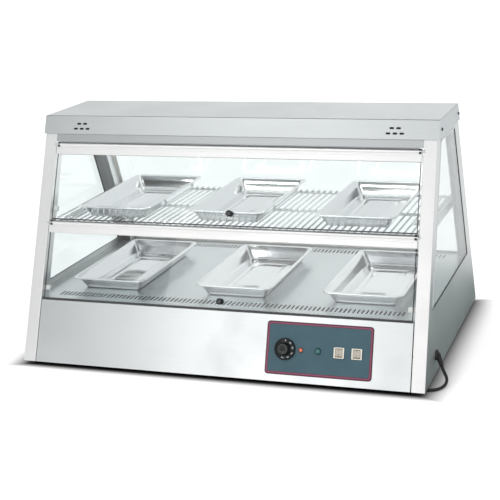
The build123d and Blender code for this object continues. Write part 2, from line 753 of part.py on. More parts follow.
def wire_rack():
    """The upper shelf: wires from front to back welded onto three cross wires."""
    half = OPENING_HALF - RACK_SIDE_GAP
    z = FOOT_HEIGHT + RACK_TOP_LEVEL - RACK_WIRE_RADIUS
    span = 2 * (half - RACK_WIRE_RADIUS)
    wires = []
    for i in range(RACK_WIRE_COUNT):
        x = -span / 2 + i * span / (RACK_WIRE_COUNT - 1)
        wires.append(Pos(x, 0, z) * Rot(90, 0, 0) * Cylinder(RACK_WIRE_RADIUS, RACK_DEPTH))
    cross_y = RACK_DEPTH / 2 - CROSS_WIRE_INSET
    for y in (-cross_y, 0, cross_y):
        wires.append(cylinder_x(-half, half, y, FOOT_HEIGHT + CROSS_WIRE_LEVEL, CROSS_WIRE_RADIUS))
    return wires[-1].fuse(*wires[:-1])


def rack_ledge():
    """The right-hand angle that carries the rack between the pillar returns."""
    top = FOOT_HEIGHT + LEDGE_LEVEL
    y = LEDGE_LENGTH / 2
    ledge = block(OPENING_HALF - LEDGE_WIDTH, OPENING_HALF, -y, y, top - SHEET, top)
    return ledge + block(OPENING_HALF - SHEET, OPENING_HALF, -y, y, top - LEDGE_DROP, top)


def rounded_loft(low_size, low_radius, low_level, high_size, high_radius, high_level):
    """A solid between a rounded rectangle at one level and another at a higher one."""
    low = Pos(0, 0, low_level) * RectangleRounded(*low_size, low_radius)
    high = Pos(0, 0, high_level) * RectangleRounded(*high_size, high_radius)
    return loft([low, high])


def smaller(size, side, end):
    """A width and a depth with this much less at each side and at each end."""
    return (size[0] - 2 * side, size[1] - 2 * end)


def tray(x, y, level):
    """A pressed tray: rolled rim, leaning walls and a stepped panel in its floor."""
    run = TRAY_HEIGHT * math.tan(math.radians(TRAY_TAPER))
    size = (TRAY_WIDTH, TRAY_DEPTH)
    mouth = smaller(size, TRAY_RIM, TRAY_RIM)
    floor = smaller(mouth, run, run)
    corner = TRAY_CORNER - TRAY_RIM
    outer = rounded_loft(floor, TRAY_FLOOR_CORNER, 0, mouth, corner, TRAY_HEIGHT)
    inner = rounded_loft(
        smaller(floor, TRAY_SHEET, TRAY_SHEET), TRAY_FLOOR_CORNER - TRAY_SHEET, TRAY_SHEET,
        smaller(mouth, TRAY_SHEET, TRAY_SHEET), corner - TRAY_SHEET, TRAY_HEIGHT + TRAY_SHEET,
    )
    rim = extrude(RectangleRounded(*size, TRAY_CORNER), amount=TRAY_RIM_DROP)
    fold = RectangleRounded(*smaller(size, TRAY_SHEET, TRAY_SHEET), TRAY_CORNER - TRAY_SHEET)
    rim -= extrude(fold, amount=TRAY_RIM_DROP - TRAY_SHEET)
    panel_foot = smaller(floor, TRAY_PANEL_SIDE_INSET, TRAY_PANEL_END_INSET)
    panel_top = smaller(panel_foot, TRAY_PANEL_SIDE_STEP, TRAY_PANEL_END_STEP)
    made = outer + Pos(0, 0, TRAY_HEIGHT - TRAY_RIM_DROP) * rim - inner
    made += rounded_loft(
        panel_foot, TRAY_FLOOR_CORNER, TRAY_SHEET / 2,
        panel_top, TRAY_FLOOR_CORNER, TRAY_SHEET + TRAY_PANEL_RISE,
    )
    return Pos(x, y, FOOT_HEIGHT + level) * made


def thermostat():
    """The thermostat behind the panel, with its bushing through it."""
    slope = control_slope()
    body = front_block(
        DIAL_X - THERMOSTAT_WIDTH / 2, DIAL_X + THERMOSTAT_WIDTH / 2,
        slope - THERMOSTAT_HEIGHT / 2, slope + THERMOSTAT_HEIGHT / 2,
        -SHEET - THERMOSTAT_DEPTH, -SHEET,
    )
    body += front_cylinder(DIAL_X, slope, BUSHING_RADIUS, -SHEET, CONTROL_PLATE)
    bore = SPINDLE_RADIUS + SPINDLE_CLEARANCE
    bottom = -SPINDLE_IN_BODY - HOLE_CLEARANCE
    return body - front_cylinder(DIAL_X, slope, bore, bottom, CONTROL_PLATE + 1)


def thermostat_spindle():
    """The spindle that the dial turns."""
    tip = CONTROL_PLATE + DIAL_GAP + SPINDLE_IN_KNOB
    return front_cylinder(DIAL_X, control_slope(), SPINDLE_RADIUS, -SPINDLE_IN_BODY, tip)


def thermostat_knob():
    """The dial: a wide skirt, a grip and a bar across it."""
    slope = control_slope()
    low = CONTROL_PLATE + DIAL_GAP
    high = low + DIAL_GRIP_HEIGHT
    knob = front_cylinder(DIAL_X, slope, DIAL_RADIUS, low, low + DIAL_SKIRT)
    knob += front_cylinder(DIAL_X, slope, DIAL_GRIP_RADIUS, low, high)
    bar = front_block(
        DIAL_X - DIAL_BAR_WIDTH / 2, DIAL_X + DIAL_BAR_WIDTH / 2,
        slope - DIAL_GRIP_RADIUS, slope + DIAL_GRIP_RADIUS, high, high + DIAL_BAR_HEIGHT,
    )
    knob += bar & front_cylinder(DIAL_X, slope, DIAL_GRIP_RADIUS, high, high + DIAL_BAR_HEIGHT)
    return knob - front_cylinder(DIAL_X, slope, SPINDLE_RADIUS, low - 1, low + SPINDLE_IN_KNOB)


def thermostat_bulb():
    """The sensing bulb under the plate, joined to the thermostat by its thin pipe."""
    top_slope = control_slope() + THERMOSTAT_HEIGHT / 2
    out = -SHEET - THERMOSTAT_DEPTH / 2
    bulb_z = FOOT_HEIGHT + BASE_LEVEL - BULB_RADIUS
    bulb_end = DIAL_X - 2 * PIPE_TURN
    points = (
        on_front(DIAL_X, top_slope, out).position,
        on_front(DIAL_X, top_slope + PIPE_RISE, out).position,
        (DIAL_X, PIPE_FRONT_Y, bulb_z - 2 * BULB_RADIUS),
        (DIAL_X, PIPE_TURN_Y, bulb_z),
        (DIAL_X - PIPE_TURN, BULB_Y, bulb_z),
        (bulb_end, BULB_Y, bulb_z),
    )
    path = FilletPolyline(*points, radius=PIPE_BEND)
    pipe = sweep(Plane(path @ 0, z_dir=path % 0) * Circle(CAPILLARY_RADIUS), path=path)
    return pipe + cylinder_x(bulb_end - BULB_LENGTH, bulb_end, BULB_Y, bulb_z, BULB_RADIUS)


def pilot_lamp(x, radius):
    """A pilot lamp: a low lens on the plate and its body behind it."""
    slope = control_slope()
    lamp = front_cylinder(x, slope, radius, CONTROL_PLATE, CONTROL_PLATE + PILOT_LENS)
    lens = fillet(lamp.faces().sort_by(Axis(FRONT.origin, FRONT.z_dir))[-1].edges(), PILOT_LENS / 2)
    inside = CONTROL_PLATE - PILOT_DEPTH
    return lens + front_cylinder(x, slope, radius - PILOT_LIP, inside, CONTROL_PLATE)


def rocker_pivot_out():
    """How far a rocker's pivot lies outside the panel's face."""
    return CONTROL_PLATE + SWITCH_BEZEL_HEIGHT - ROCKER_VALLEY


def switch_housing(x):
    """A square switch body with its bezel, its pocket and the holes for the pivot."""
    slope = control_slope()
    bezel = SWITCH_BEZEL / 2
    body = SWITCH_BODY / 2
    top = CONTROL_PLATE + SWITCH_BEZEL_HEIGHT
    housing = front_block(x - bezel, x + bezel, slope - bezel, slope + bezel, CONTROL_PLATE, top)
    housing += front_block(
        x - body, x + body, slope - body, slope + body, CONTROL_PLATE - SWITCH_DEPTH, CONTROL_PLATE
    )
    half_x = ROCKER_WIDTH / 2 + ROCKER_CLEARANCE
    half_y = ROCKER_RADIUS + ROCKER_CLEARANCE
    floor = rocker_pivot_out() - ROCKER_RADIUS - ROCKER_CLEARANCE
    housing -= front_block(x - half_x, x + half_x, slope - half_y, slope + half_y, floor, top + 1)
    pivot = on_front(x, slope, rocker_pivot_out()) * Rot(0, 90, 0)
    reach = half_x + ROCKER_PIVOT_REACH + HOLE_CLEARANCE
    return housing - pivot * Cylinder(ROCKER_PIVOT_RADIUS + PIN_CLEARANCE, 2 * reach)


def switch_rocker(x):
    """A rocker with two shallow slopes, tilted to one of its two positions."""
    middle = (ROCKER_CREST - ROCKER_BASE) / 2
    rounded = Circle(ROCKER_RADIUS)
    rounded &= Pos(0, middle) * Rectangle(2 * ROCKER_RADIUS, ROCKER_CREST + ROCKER_BASE)
    reach = 2 * ROCKER_RADIUS
    low = ROCKER_VALLEY + reach * math.tan(math.radians(ROCKER_TILT))
    valley = Polygon(
        (-reach, low), (0, ROCKER_VALLEY), (reach, low), (reach, low + reach), (-reach, low + reach),
        align=None,
    )
    plane = Plane(origin=(-ROCKER_WIDTH / 2, 0, 0), x_dir=(0, 1, 0), z_dir=(1, 0, 0))
    rocker = extrude(plane * (rounded - valley), amount=ROCKER_WIDTH)
    reach = ROCKER_WIDTH / 2 + ROCKER_CLEARANCE + ROCKER_PIVOT_REACH
    rocker += Rot(0, 90, 0) * Cylinder(ROCKER_PIVOT_RADIUS, 2 * reach)
    return on_front(x, control_slope(), rocker_pivot_out()) * Rot(-ROCKER_TILT, 0, 0) * rocker


def heater(side):
    """A heating element bent to a U, lying level under the plate."""
    x_end = side * (HEATER_CENTRE_X - HEATER_LENGTH / 2)
    x_bend = side * (HEATER_CENTRE_X + HEATER_LENGTH / 2)
    z = FOOT_HEIGHT + HEATER_LEVEL
    near = HEATER_CENTRE_Y - HEATER_SPAN / 2
    far = HEATER_CENTRE_Y + HEATER_SPAN / 2
    points = ((x_end, near, z), (x_bend, near, z), (x_bend, far, z), (x_end, far, z))
    path = FilletPolyline(*points, radius=HEATER_BEND)
    return sweep(Plane(path @ 0, z_dir=path % 0) * Circle(HEATER_RADIUS), path=path)


def heater_stands():
    """Upright strips on the pan, each clasping one leg of a heating element."""
    made = []
    base = FOOT_HEIGHT + SHEET
    top = FOOT_HEIGHT + HEATER_LEVEL + HEATER_STAND_HEAD
    for side in (-1, 1):
        for along in (-1, 1):
            x = side * HEATER_CENTRE_X + along * (HEATER_LENGTH / 2 - HEATER_STAND_INSET)
            for y in (HEATER_CENTRE_Y - HEATER_SPAN / 2, HEATER_CENTRE_Y + HEATER_SPAN / 2):
                half = HEATER_STAND_WIDTH / 2
                stand = block(x, x + SHEET, y - half, y + half, base, top)
                stand += block(x, x + SHIELD_FOOT, y - half, y + half, base, base + SHEET)
                stand -= cylinder_x(x - 1, x + SHEET + 1, y, FOOT_HEIGHT + HEATER_LEVEL, HEATER_RADIUS)
                made.append(stand)
    return Compound(children=made)


def heat_shield():
    """The sheet that keeps the heat away from the controls."""
    base = FOOT_HEIGHT + SHEET
    top = FOOT_HEIGHT + SHIELD_TOP_LEVEL
    shield = block(SHIELD_LEFT_X, SHIELD_RIGHT_X, SHIELD_BACK_Y - SHEET, SHIELD_BACK_Y, base, top)
    shield += block(SHIELD_LEFT_X, SHIELD_LEFT_X + SHEET, SHIELD_FRONT_Y, SHIELD_BACK_Y, base, top)
    return shield + block(
        SHIELD_LEFT_X, SHIELD_RIGHT_X, SHIELD_BACK_Y, SHIELD_BACK_Y + SHIELD_FOOT, base, base + SHEET
    )


def terminal_block():
    """The block that the mains lead is joined to, with its row of wire holes."""
    width, depth, height = TERMINAL_SIZE
    base = FOOT_HEIGHT + SHEET
    body = block(
        TERMINAL_X - width / 2, TERMINAL_X + width / 2, TERMINAL_Y - depth / 2, TERMINAL_Y + depth / 2,
        base, base + height,
    )
    for i in range(TERMINAL_HOLES):
        x = TERMINAL_X + (i - (TERMINAL_HOLES - 1) / 2) * TERMINAL_PITCH
        hole = Rot(90, 0, 0) * Cylinder(TERMINAL_HOLE_RADIUS, depth + 2)
        body -= Pos(x, TERMINAL_Y, base + height / 2) * hole
    return body


def batten_level():
    """Level of the underside of the lamp batten."""
    return FRAME_TOP - BATTEN_HEIGHT


def lamp_batten():
    """The box-section batten under the cap."""
    top = FOOT_HEIGHT + FRAME_TOP
    half = BATTEN_LENGTH / 2
    side = BATTEN_WIDTH / 2
    batten = block(-half, half, -side, side, top - BATTEN_HEIGHT, top)
    return batten - block(
        -half - 1, half + 1, SHEET - side, side - SHEET, top - BATTEN_HEIGHT + SHEET, top - SHEET
    )


def tube_z():
    """Height of the lamp tube's middle."""
    return FOOT_HEIGHT + batten_level() - LAMP_TUBE_DROP


def lamp_holders():
    """The two sockets that hang from the batten and take the tube's pins."""
    low = tube_z() - LAMP_SOCKET_DEPTH / 2
    high = FOOT_HEIGHT + batten_level()
    half = TUBE_LENGTH / 2
    side = LAMP_SOCKET_DEPTH / 2
    socket = block(half, half + LAMP_SOCKET_WIDTH, -side, side, low, high)
    for y in (-TUBE_RADIUS / 2, TUBE_RADIUS / 2):
        socket -= cylinder_x(half - 1, half + TUBE_PIN_LENGTH, y, tube_z(), TUBE_PIN_RADIUS)
    return Compound(children=[socket, left_of(socket)])


def lamp_tube():
    """The tubular lamp with its two pins at each end."""
    half = TUBE_LENGTH / 2
    tip = half + TUBE_PIN_LENGTH
    tube = cylinder_x(-half, half, 0, tube_z(), TUBE_RADIUS)
    for y in (-TUBE_RADIUS / 2, TUBE_RADIUS / 2):
        tube += cylinder_x(-tip, tip, y, tube_z(), TUBE_PIN_RADIUS)
    return tube


def sleeve_direction():
    """Unit vector along the sleeve that the cord comes out of."""
    return Vector(*SLEEVE_DIRECTION).normalized()


def sleeve_start():
    """The middle of the gland's boss, where the sleeve turns down and forward."""
    return Vector(HALF_WIDTH + GLAND_FLANGE, GLAND_Y, FOOT_HEIGHT + GLAND_LEVEL)


def sleeve_tip():
    """Where the cord leaves the sleeve."""
    return sleeve_start() + sleeve_direction() * SLEEVE_LENGTH


def cord_gland():
    """The gland in the right side wall, with a nut inside and a drooping sleeve outside."""
    outer = HALF_WIDTH
    z = FOOT_HEIGHT + GLAND_LEVEL
    gland = cylinder_x(outer, outer + GLAND_FLANGE, GLAND_Y, z, GLAND_FLANGE_RADIUS)
    gland += cylinder_x(INNER_HALF - GLAND_NUT, outer, GLAND_Y, z, GLAND_NECK_RADIUS)
    gland += cylinder_x(INNER_HALF - GLAND_NUT, INNER_HALF, GLAND_Y, z, GLAND_NUT_RADIUS)
    gland += Pos(*sleeve_start()) * Sphere(SLEEVE_BASE_RADIUS)
    axis = Plane(origin=sleeve_start(), z_dir=sleeve_direction())
    cone = Pos(0, 0, SLEEVE_LENGTH / 2) * Cone(SLEEVE_BASE_RADIUS, SLEEVE_TIP_RADIUS, SLEEVE_LENGTH)
    return gland + axis * cone


def corner_radii(points):
    """The largest tangent arc that the two runs beside each corner allow."""
    radii = []
    for before, here, after in zip(points, points[1:], points[2:]):
        first = here - before
        second = after - here
        half_turn = math.radians(first.get_angle(second)) / 2
        radii.append(0.45 * min(first.length, second.length) / math.tan(half_turn))
    return radii


def cord_points():
    """The free cord's route from the sleeve to the coil."""
    tip = sleeve_tip()
    lead = tip + sleeve_direction() * CORD_LEAD
    end = Vector(COIL_X + COIL_OUTER_RADIUS, COIL_Y - 2 * CORD_RADIUS, CORD_RADIUS)
    return [tip, lead] + [Vector(*point) for point in CORD_ROUTE] + [end]


def power_cord():
    """The free stretch of the mains lead: straight runs joined by tangent arcs."""
    points = cord_points()
    radii = corner_radii(points)
    path = FilletPolyline(*points, radius=radii)
    cord = sweep(Plane(path @ 0, z_dir=path % 0) * Circle(CORD_RADIUS), path=path)
    ideal = math.pi * CORD_RADIUS**2 * path.length
    print("cord radii", [round(radius, 1) for radius in radii])
    print(f"cord length {path.length:.0f}, volume {cord.volume:.0f} against {ideal:.0f}")
    return cord


def coil_point(turn):
    """A point of the coil after this many turns: in on the floor, out on top."""
    middle = COIL_TURNS / 2
    radius = COIL_INNER_RADIUS + COIL_PITCH * abs(turn - middle)
    climb = min(max((turn - middle) / COIL_CLIMB_TURNS + 0.5, 0.0), 1.0)
    rise = COIL_PITCH * (1 - math.cos(math.pi * climb)) / 2
    angle = 2 * math.pi * turn
    return Vector(
        COIL_X + radius * math.cos(angle), COIL_Y + radius * math.sin(angle), CORD_RADIUS + rise
    )


def coil_heading(turn):
    """The coil's direction there."""
    if turn in (0, COIL_TURNS):
        angle = 2 * math.pi * turn
        return Vector(-math.sin(angle), math.cos(angle), 0)
    step = 0.02
    return (coil_point(turn + step) - coil_point(turn - step)).normalized()


def biarc(start, start_way, end, end_way):
    """Two tangent arcs from one point and heading to another."""
    chord = end - start
    ways = start_way + end_way
    a = 2 * (1 - start_way.dot(end_way))
    b = 2 * chord.dot(ways)
    reach = (-b + math.sqrt(b * b + 4 * a * chord.dot(chord))) / (2 * a)
    middle = (start + start_way * reach + end - end_way * reach) / 2
    first = Edge.make_tangent_arc(start, start_way, middle)
    return [first, Edge.make_tangent_arc(middle, first.tangent_at(1), end)]


def coil_path():
    """The coil's path: a straight lead at each end and biarcs of a quarter turn."""
    count = round(COIL_TURNS * COIL_STEPS_PER_TURN)
    turns = [i * COIL_TURNS / count for i in range(count + 1)]
    lead = 2 * CORD_RADIUS
    first = coil_point(0)
    last = coil_point(COIL_TURNS)
    edges = [Edge.make_line(first - coil_heading(0) * lead, first)]
    for turn, following in zip(turns, turns[1:]):
        edges += biarc(
            coil_point(turn), coil_heading(turn), coil_point(following), coil_heading(following)
        )
    edges.append(Edge.make_line(last, last + coil_heading(COIL_TURNS) * lead))
    return Wire(edges)


def coil_gap():
    """The least gap between two turns of the coil, measured on points of its path."""
    steps = 90
    count = round(COIL_TURNS * steps)
    points = [coil_point(i / steps) for i in range(count + 1)]
    least = min(
        (points[i] - points[j]).length
        for i in range(len(points))
        for j in range(i + steps // 2, len(points))
    )
    return least - 2 * CORD_RADIUS


def cord_coil():
    """The put-away length: one unbroken tube in two layers."""
    path = coil_path()
    coil = sweep(Plane(path @ 0, z_dir=path % 0) * Circle(CORD_RADIUS), path=path)
    ideal = math.pi * CORD_RADIUS**2 * path.length
    print(f"coil length {path.length:.0f}, volume {coil.volume:.0f} against {ideal:.0f}")
    print(f"coil least gap {coil_gap():.2f}")
    return coil


def power_plug():
    """A three-pin plug that lies behind the coil, on the end of the cord."""
    lead = 2 * CORD_RADIUS
    start = coil_point(COIL_TURNS) + coil_heading(COIL_TURNS) * lead
    height = 2 * start.Z
    plane = Plane(origin=start, x_dir=(0, 0, 1), z_dir=coil_heading(COIL_TURNS))
    sleeve = Pos(0, 0, PLUG_SLEEVE / 2) * Cone(PLUG_SLEEVE_TIP_RADIUS, PLUG_SLEEVE_RADIUS, PLUG_SLEEVE)
    outline = Pos(0, 0, PLUG_SLEEVE) * RectangleRounded(height, PLUG_WIDTH, height / 3)
    body = extrude(outline, amount=PLUG_LENGTH)
    face = PLUG_SLEEVE + PLUG_LENGTH
    pin = Box(PLUG_PIN_WIDTH, PLUG_PIN_THICKNESS, PLUG_PIN_LENGTH)
    pin = Pos(0, 0, face + PLUG_PIN_LENGTH / 2) * pin
    pins = [Pos(height / 2 - 2 * PLUG_PIN_WIDTH, 0, 0) * pin]
    for side in (-1, 1):
        pins.append(Pos(0, side * PLUG_PIN_SPREAD, 0) * Rot(0, 0, side * PLUG_PIN_ANGLE) * pin)
    plug = sleeve + body
    for one in pins:
        plug += one
    return plane * plug


def build():
    """Every piece by its name."""
    pieces = {
        "base_pan": base_pan(),
        "base_front_panel": base_front_panel(),
        "base_rear_panel": base_rear_panel(),
        "side_frame_left": left_of(side_frame(False)),
        "side_frame_right": side_frame(True),
        "top_cap": top_cap(),
        "top_rail_front": top_rail(-1),
        "top_rail_rear": top_rail(1),
        "cap_screws": cap_screws(),
        "feet": feet(),
        "shelf_plate": shelf_plate(),
        "side_glass_left": left_of(side_glass()),
        "side_glass_right": side_glass(),
        "side_gasket_left": left_of(side_gasket()),
        "side_gasket_right": side_gasket(),
        "rear_glass": rear_glass(),
        "rear_gasket": rear_gasket(),
        "wire_rack": wire_rack(),
        "rack_ledge_left": left_of(rack_ledge()),
        "rack_ledge_right": rack_ledge(),
        "lamp_batten": lamp_batten(),
        "lamp_holders": lamp_holders(),
        "lamp_tube": lamp_tube(),
        "heater_left": heater(-1),
        "heater_right": heater(1),
        "heater_stands": heater_stands(),
        "heat_shield": heat_shield(),
        "terminal_block": terminal_block(),
        "control_plate": control_plate(),
        "thermostat": thermostat(),
        "thermostat_spindle": thermostat_spindle(),
        "thermostat_knob": thermostat_knob(),
        "thermostat_bulb": thermostat_bulb(),
        "pilot_lamp_orange": pilot_lamp(ORANGE_LAMP_X, ORANGE_LAMP_RADIUS),
        "pilot_lamp_green": pilot_lamp(GREEN_LAMP_X, GREEN_LAMP_RADIUS),
        "cord_gland": cord_gland(),
        "power_cord": power_cord(),
        "cord_coil": cord_coil(),
        "power_plug": power_plug(),
    }
    for name, axis, knob_place in (("upper", UPPER_AXIS, UPPER_KNOB), ("lower", LOWER_AXIS, LOWER_KNOB)):
        pieces[f"{name}_flap_rail"] = flap_rail(axis)
        pieces[f"{name}_flap_ends"] = flap_ends(axis)
        pieces[f"{name}_flap_glass"] = flap_glass(axis, knob_place)
        pieces[f"{name}_flap_knob"] = flap_knob(axis, knob_place)
        pieces[f"{name}_flap_stops"] = flap_stops(axis)
    for number, x in enumerate(SWITCH_X, start=1):
        pieces[f"switch_housing_{number}"] = switch_housing(x)
        pieces[f"switch_rocker_{number}"] = switch_rocker(x)
    for number, x in enumerate(LOWER_TRAY_X, start=1):
        pieces[f"lower_tray_{number}"] = tray(x, LOWER_TRAY_Y, PLATE_TOP_LEVEL)
    for number, x in enumerate(UPPER_TRAY_X, start=1):
        pieces[f"upper_tray_{number}"] = tray(x, UPPER_TRAY_Y, RACK_TOP_LEVEL + REST_GAP)
    return pieces


def main():
    """Write each piece to its own file."""
    os.makedirs("parts", exist_ok=True)
    for name, shape in build().items():
        export_step(shape, f"parts/{name}.step")


if __name__ == "__main__":
    main()
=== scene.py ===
"""Looks of the heated display case: finishes, fine pieces, studio light and the camera.

Everything is in metres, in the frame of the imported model: X to the right, Y to the back,
Z up, with the origin on the counter under the middle of the case.
"""

from __future__ import annotations

import json
import logging
import math
from dataclasses import dataclass, field
from enum import Enum
from typing import Sequence

import bmesh
import bpy
from mathutils import Matrix, Vector


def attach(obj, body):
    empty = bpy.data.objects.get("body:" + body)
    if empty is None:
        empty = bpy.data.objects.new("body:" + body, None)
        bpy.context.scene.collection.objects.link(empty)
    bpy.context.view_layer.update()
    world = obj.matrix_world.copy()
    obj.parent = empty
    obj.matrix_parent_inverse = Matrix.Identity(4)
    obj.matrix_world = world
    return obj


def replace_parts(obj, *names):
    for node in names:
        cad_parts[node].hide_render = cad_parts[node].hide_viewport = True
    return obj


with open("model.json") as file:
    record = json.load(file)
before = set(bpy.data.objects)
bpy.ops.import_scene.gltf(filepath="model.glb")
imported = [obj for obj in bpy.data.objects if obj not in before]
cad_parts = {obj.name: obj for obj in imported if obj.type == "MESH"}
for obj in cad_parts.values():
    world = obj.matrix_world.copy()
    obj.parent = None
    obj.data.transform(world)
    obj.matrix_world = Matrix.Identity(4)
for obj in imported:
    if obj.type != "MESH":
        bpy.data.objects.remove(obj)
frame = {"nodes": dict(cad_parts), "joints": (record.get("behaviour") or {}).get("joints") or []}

LOG = logging.getLogger("display_case")
MM = 0.001
NODE_MERGE = 1e-5
PIECE_MERGE = NODE_MERGE / 10
SHARP_EDGE = 35.0
EDGE_STEPS = 4
BEVELLED_EDGE = math.radians(40.0)
FLAT_EDGE = math.radians(1.0)
FOLD_LENGTH = 0.15
FOLD_WIDTH = 0.03
SIDES = (("left", -1), ("right", 1))

Tree = bpy.types.NodeTree
Node = bpy.types.Node
Socket = bpy.types.NodeSocket
Piece = bpy.types.Object
Shape = bmesh.types.BMesh
Edge = bmesh.types.BMEdge
Point2 = tuple[float, float]
Point3 = tuple[float, float, float]
Colour = tuple[float, float, float]


class Grain(Enum):
    """The way a brushed sheet's fine lines run."""

    ACROSS = (3.0, 260.0, 260.0)
    DEEP = (260.0, 3.0, 260.0)
    UPRIGHT = (260.0, 260.0, 3.0)
    NONE = (60.0, 60.0, 60.0)


# Geometry helpers


@dataclass(frozen=True)
class Slope:
    """The leaning front of the case, with places given across, up the slope and outwards."""

    depth: float = 0.590
    top_depth: float = 0.194
    height: float = 0.513
    foot: float = 0.008

    @property
    def lean(self) -> float:
        """Angle that the front leans back from the upright."""
        return math.atan2((self.depth - self.top_depth) / 2, self.height)

    def along(self, level: float) -> float:
        """Distance up the slope for a level above the case's underside."""
        return level / math.cos(self.lean)

    def up_to(self, point: Sequence[float]) -> float:
        """Distance up the slope of a point of the model."""
        y, z = point[1] + self.depth / 2, point[2] - self.foot
        return y * math.sin(self.lean) + z * math.cos(self.lean)

    def half_depth(self, z: float) -> float:
        """Half depth of the case at a height above the counter."""
        lost = (self.depth - self.top_depth) / 2 * (z - self.foot) / self.height
        return self.depth / 2 - lost

    def place(self, x: float, slope: float, out: float = 0.0) -> Matrix:
        """Local axes on the front.

        Args:
            x: distance to the right.
            slope: distance up the slope from the bottom edge.
            out: distance outwards from the sheet's face.

        Returns:
            A matrix with local X to the right, Y up the slope and Z outwards.
        """
        cos, sin = math.cos(self.lean), math.sin(self.lean)
        y = -self.depth / 2 + slope * sin - out * cos
        z = self.foot + slope * cos + out * sin
        return Matrix(((1, 0, 0, x), (0, sin, -cos, y), (0, cos, sin, z), (0, 0, 0, 1)))


SLOPE = Slope()


def rotation(degrees: float, axis: str) -> Matrix:
    """A turn about one of the main axes."""
    return Matrix.Rotation(math.radians(degrees), 4, axis)


def axes(x: Vector, y: Vector, z: Vector, origin: Vector) -> Matrix:
    """Local axes from three directions and their origin."""
    return Matrix([(x[i], y[i], z[i], origin[i]) for i in range(3)] + [(0, 0, 0, 1)])


def in_mm(points: Sequence[Sequence[float]]) -> list[tuple[float, ...]]:
    """Points that are written in millimetres, in metres."""
    return [tuple(value * MM for value in point) for point in points]


def linked(name: str, data: bpy.types.ID) -> Piece:
    """Adds an object to the scene.

    Args:
        name: the object's name.
        data: its mesh, curve, light or camera.

    Returns:
        The new object.
    """
    thing = bpy.data.objects.new(name, data)
    bpy.context.scene.collection.objects.link(thing)
    return thing


def piece_from_bmesh(name: str, shape: Shape, angle: float = SHARP_EDGE) -> Piece:
    """Closes a bmesh into a piece with outward faces and smooth shading up to an angle.

    Args:
        name: the piece's name.
        shape: the bmesh, which is freed.
        angle: degrees past which an edge stays crisp.

    Returns:
        The new piece.
    """
    bmesh.ops.remove_doubles(shape, verts=shape.verts, dist=PIECE_MERGE)
    bmesh.ops.recalc_face_normals(shape, faces=shape.faces)
    mesh = bpy.data.meshes.new(name)
    shape.to_mesh(mesh)
    shape.free()
    mesh.shade_smooth()
    mesh.set_sharp_from_angle(angle=math.radians(angle))
    return linked(name, mesh)


def loft(
    loops: Sequence[Sequence[Vector]], cap_first: bool, cap_last: bool, closed: bool = False
) -> Shape:
    """Joins loops of as many points each into a skin.

    Args:
        loops: the loops, in order.
        cap_first: whether the first loop is filled.
        cap_last: whether the last loop is filled.
        closed: whether the last loop joins the first one.

    Returns:
        The skin as a bmesh.
    """
    shape = bmesh.new()
    rings = [[shape.verts.new(point) for point in loop] for loop in loops]
    count = len(rings[0])
    following = rings[1:] + rings[:1] if closed else rings[1:]
    for ring, after in zip(rings, following):
        for i in range(count):
            j = (i + 1) % count
            shape.faces.new((ring[i], ring[j], after[j], after[i]))
    if cap_first:
        shape.faces.new(rings[0][::-1])
    if cap_last:
        shape.faces.new(rings[-1])
    return shape


def circle(place: Matrix, radius: float, height: float, segments: int) -> list[Vector]:
    """A loop of points about local Z."""
    angles = [2 * math.pi * i / segments for i in range(segments)]
    return [place @ Vector((radius * math.cos(a), radius * math.sin(a), height)) for a in angles]


def lathe(profile: Sequence[Point2], place: Matrix, segments: int) -> Shape:
    """Turns a profile about local Z into a solid form.

    Args:
        profile: (radius, height) points from the bottom's middle to the top's.
        place: where the turned shape goes.
        segments: faces round it.

    Returns:
        The closed shape as a bmesh.
    """
    return loft([circle(place, radius, height, segments) for radius, height in profile], True, True)


def hoop(profile: Sequence[Point2], place: Matrix, segments: int) -> Shape:
    """Turns a closed profile about local Z into a ring with an open middle."""
    loops = [circle(place, radius, height, segments) for radius, height in profile]
    return loft(loops, False, False, closed=True)


def rounded_outline(half_x: float, half_y: float, radius: float, steps: int = 6) -> list[Point2]:
    """Outline of a rectangle with round corners, anticlockwise.

    Args:
        half_x: half its width.
        half_y: half its height.
        radius: radius of its corners.
        steps: straight pieces in each corner.

    Returns:
        The points, from the end of the lower edge on.
    """
    points = []
    corners = ((1, -1, -90), (1, 1, 0), (-1, 1, 90), (-1, -1, 180))
    for side_x, side_y, start in corners:
        for i in range(steps + 1):
            angle = math.radians(start + 90 * i / steps)
            x = side_x * (half_x - radius) + radius * math.cos(angle)
            y = side_y * (half_y - radius) + radius * math.sin(angle)
            points.append((x, y))
    return points


def outline_at(
    place: Matrix, half_x: float, half_y: float, radius: float, height: float
) -> list[Vector]:
    """A rectangle with round corners as a loop, at a height above local axes."""
    outline = rounded_outline(half_x, half_y, radius)
    return [place @ Vector((x, y, height)) for x, y in outline]


def rounded_slab(
    half_x: float, half_y: float, height: float, radius: float, edge: float, place: Matrix
) -> Shape:
    """A plate with round corners and a soft upper edge.

    Args:
        half_x: half its width.
        half_y: half its length.
        height: how far it reaches up from local Z 0.
        radius: radius of its corners.
        edge: radius of its upper edge.
        place: its local axes.

    Returns:
        The closed shape as a bmesh.
    """
    levels = [(0.0, 0.0), (height - edge, 0.0)]
    for i in range(1, EDGE_STEPS + 1):
        angle = math.pi / 2 * i / EDGE_STEPS
        levels.append((height - edge + edge * math.sin(angle), edge * (1 - math.cos(angle))))
    loops = [
        outline_at(place, half_x - inset, half_y - inset, max(radius - inset, edge / 4), z)
        for z, inset in levels
    ]
    return loft(loops, True, True)


def settled_mesh(piece: Piece) -> bpy.types.Mesh:
    """The plain mesh that a piece shows, with its modifiers or its letters worked out."""
    graph = bpy.context.evaluated_depsgraph_get()
    return bpy.data.meshes.new_from_object(piece.evaluated_get(graph), depsgraph=graph)


